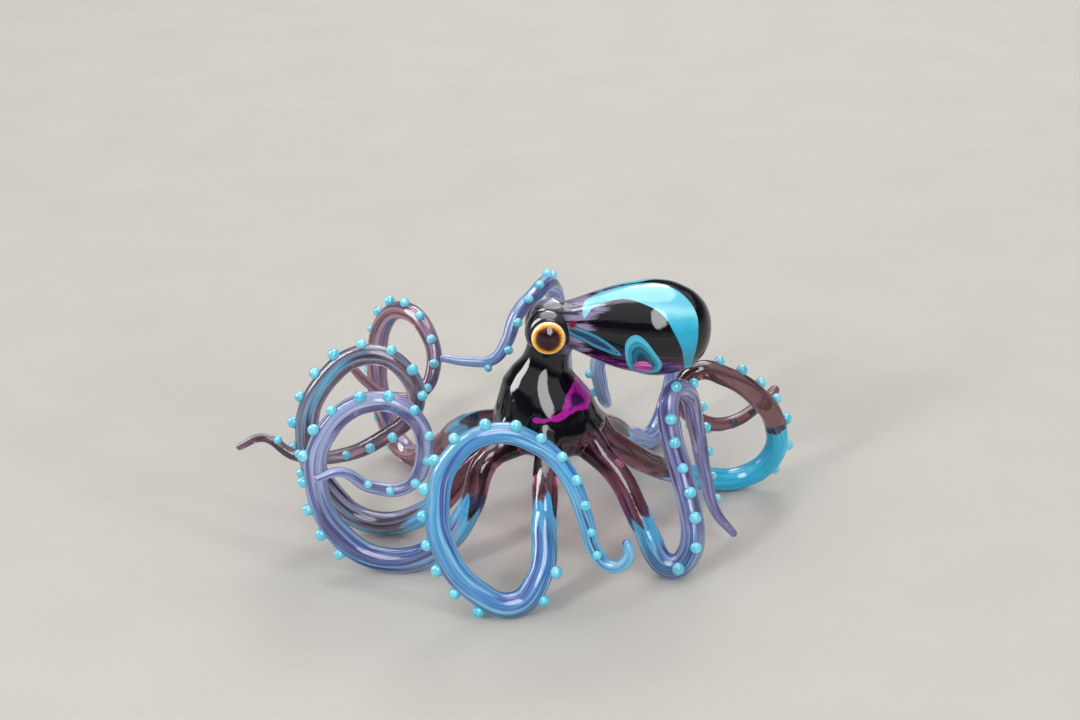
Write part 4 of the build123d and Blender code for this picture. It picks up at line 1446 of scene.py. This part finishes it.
select_only()
bpy.ops.mesh.primitive_plane_add(size=6)
floor = bpy.context.object
floor.name = "floor"
floor.data.materials.append(pale_floor())
print("floor:", floor.dimensions.x, "m wide")

# %% [markdown]
# ## Lamps
# Glass shows its lamps as reflections, so what lights the colours and what is mirrored
# are kept apart. A soft lamp behind gives the shadow, and a key and a fill in front light
# the colours but are not mirrored, so that they leave no small hot dots on the glass.
# Three large panels do the opposite: they light nothing that is matt, and are there for
# the long pale reflections on the neck, the legs and the top of the mantle. They fade
# out in a torn edge, so that a reflection has no hard outline.

# %% Lamps
def soft_lamp(label, place, wide, tall, power):
    """An oval soft lamp that faces the figurine."""
    bpy.ops.object.light_add(type="AREA", location=place)
    lamp = bpy.context.object
    lamp.name = label
    lamp.data.shape = "ELLIPSE"
    lamp.data.size, lamp.data.size_y = wide, tall
    lamp.data.energy = power
    aim = Vector((0, 0, 0.03)) - Vector(place)
    lamp.rotation_euler = aim.to_track_quat("-Z", "Y").to_euler()
    return lamp


# each has its place, width and height in metres, and its power in watts
soft_lamp("back_lamp", (0.10, 0.75, 0.75), 0.45, 0.30, 2.2)
for lamp in (
    soft_lamp("key_lamp", (-0.55, -0.75, 0.50), 0.16, 0.24, 3.6),
    soft_lamp("fill_lamp", (0.75, -0.60, 0.42), 0.14, 0.22, 2.0),
):
    lamp.visible_glossy = False
for panel in (
    soft_lamp("sky_panel", (0.0, 0.42, 1.25), 1.70, 1.90, 40.0),
    soft_lamp("left_panel", (-0.80, 0.05, 0.62), 0.50, 1.30, 22.0),
    soft_lamp("high_panel", (0.14, -0.80, 0.75), 0.65, 1.20, 17.0),
):
    panel.visible_diffuse = False
    panel.data.use_nodes = True
    tree = panel.data.node_tree
    tree.nodes.clear()
    place = add(tree, "NewGeometry", out="Parametric")
    gap = add(tree, "VectorMath", place, (0.5, 0.5, 0), out="Value", operation="DISTANCE")
    leafy = add(tree, "TexNoise", place, {"Scale": 5.0, "Detail": 4.0})
    fade = add(tree, "MapRange", swayed(tree, gap, leafy, 0.35), 0.47, 0.33, **SOFT)
    add(tree, "OutputLight", add(tree, "Emission", {"Strength": fade}))

# %% [markdown]
# ## World
# The world lights everything with one even pale grey. What the glass mirrors of it is
# pale at the horizon, dark above that and white overhead, with a torn border. The dark
# strip keeps black glass black, and the white one is the sheen on its tops.

# %% World
world = bpy.data.worlds.new("studio")
bpy.context.scene.world = world
world.use_nodes = True
tree = world.node_tree
tree.nodes.clear()
way = add(tree, "TexCoord", out="Generated")
climb = add(tree, "SeparateXYZ", way, out=2)
edge = add(tree, "TexNoise", way, {"Scale": 7.0, "Detail": 4.0})
mirrored = add(tree, "ValToRGB", swayed(tree, climb, edge, 0.22), stops=[
    (0.00, "#c2c3c3"), (0.10, "#a0a2a4"), (0.22, "#55585d"), (0.42, "#4c5055"),
    (0.55, "#dfe4ea"), (1.00, "#ffffff"),
])
mirrors = 0.0
for ray in ("Is Camera Ray", "Is Glossy Ray", "Is Transmission Ray"):
    mirrors = add(tree, "Math", mirrors, add(tree, "LightPath", out=ray), operation="MAXIMUM")
studio = add(tree, "Mix", {0: mirrors, 6: colour("#dfe1e3"), 7: mirrored}, **BLEND)
add(tree, "OutputWorld", add(tree, "Background", {"Color": studio, "Strength": 0.95}))
print("world:", len(tree.nodes), "nodes")
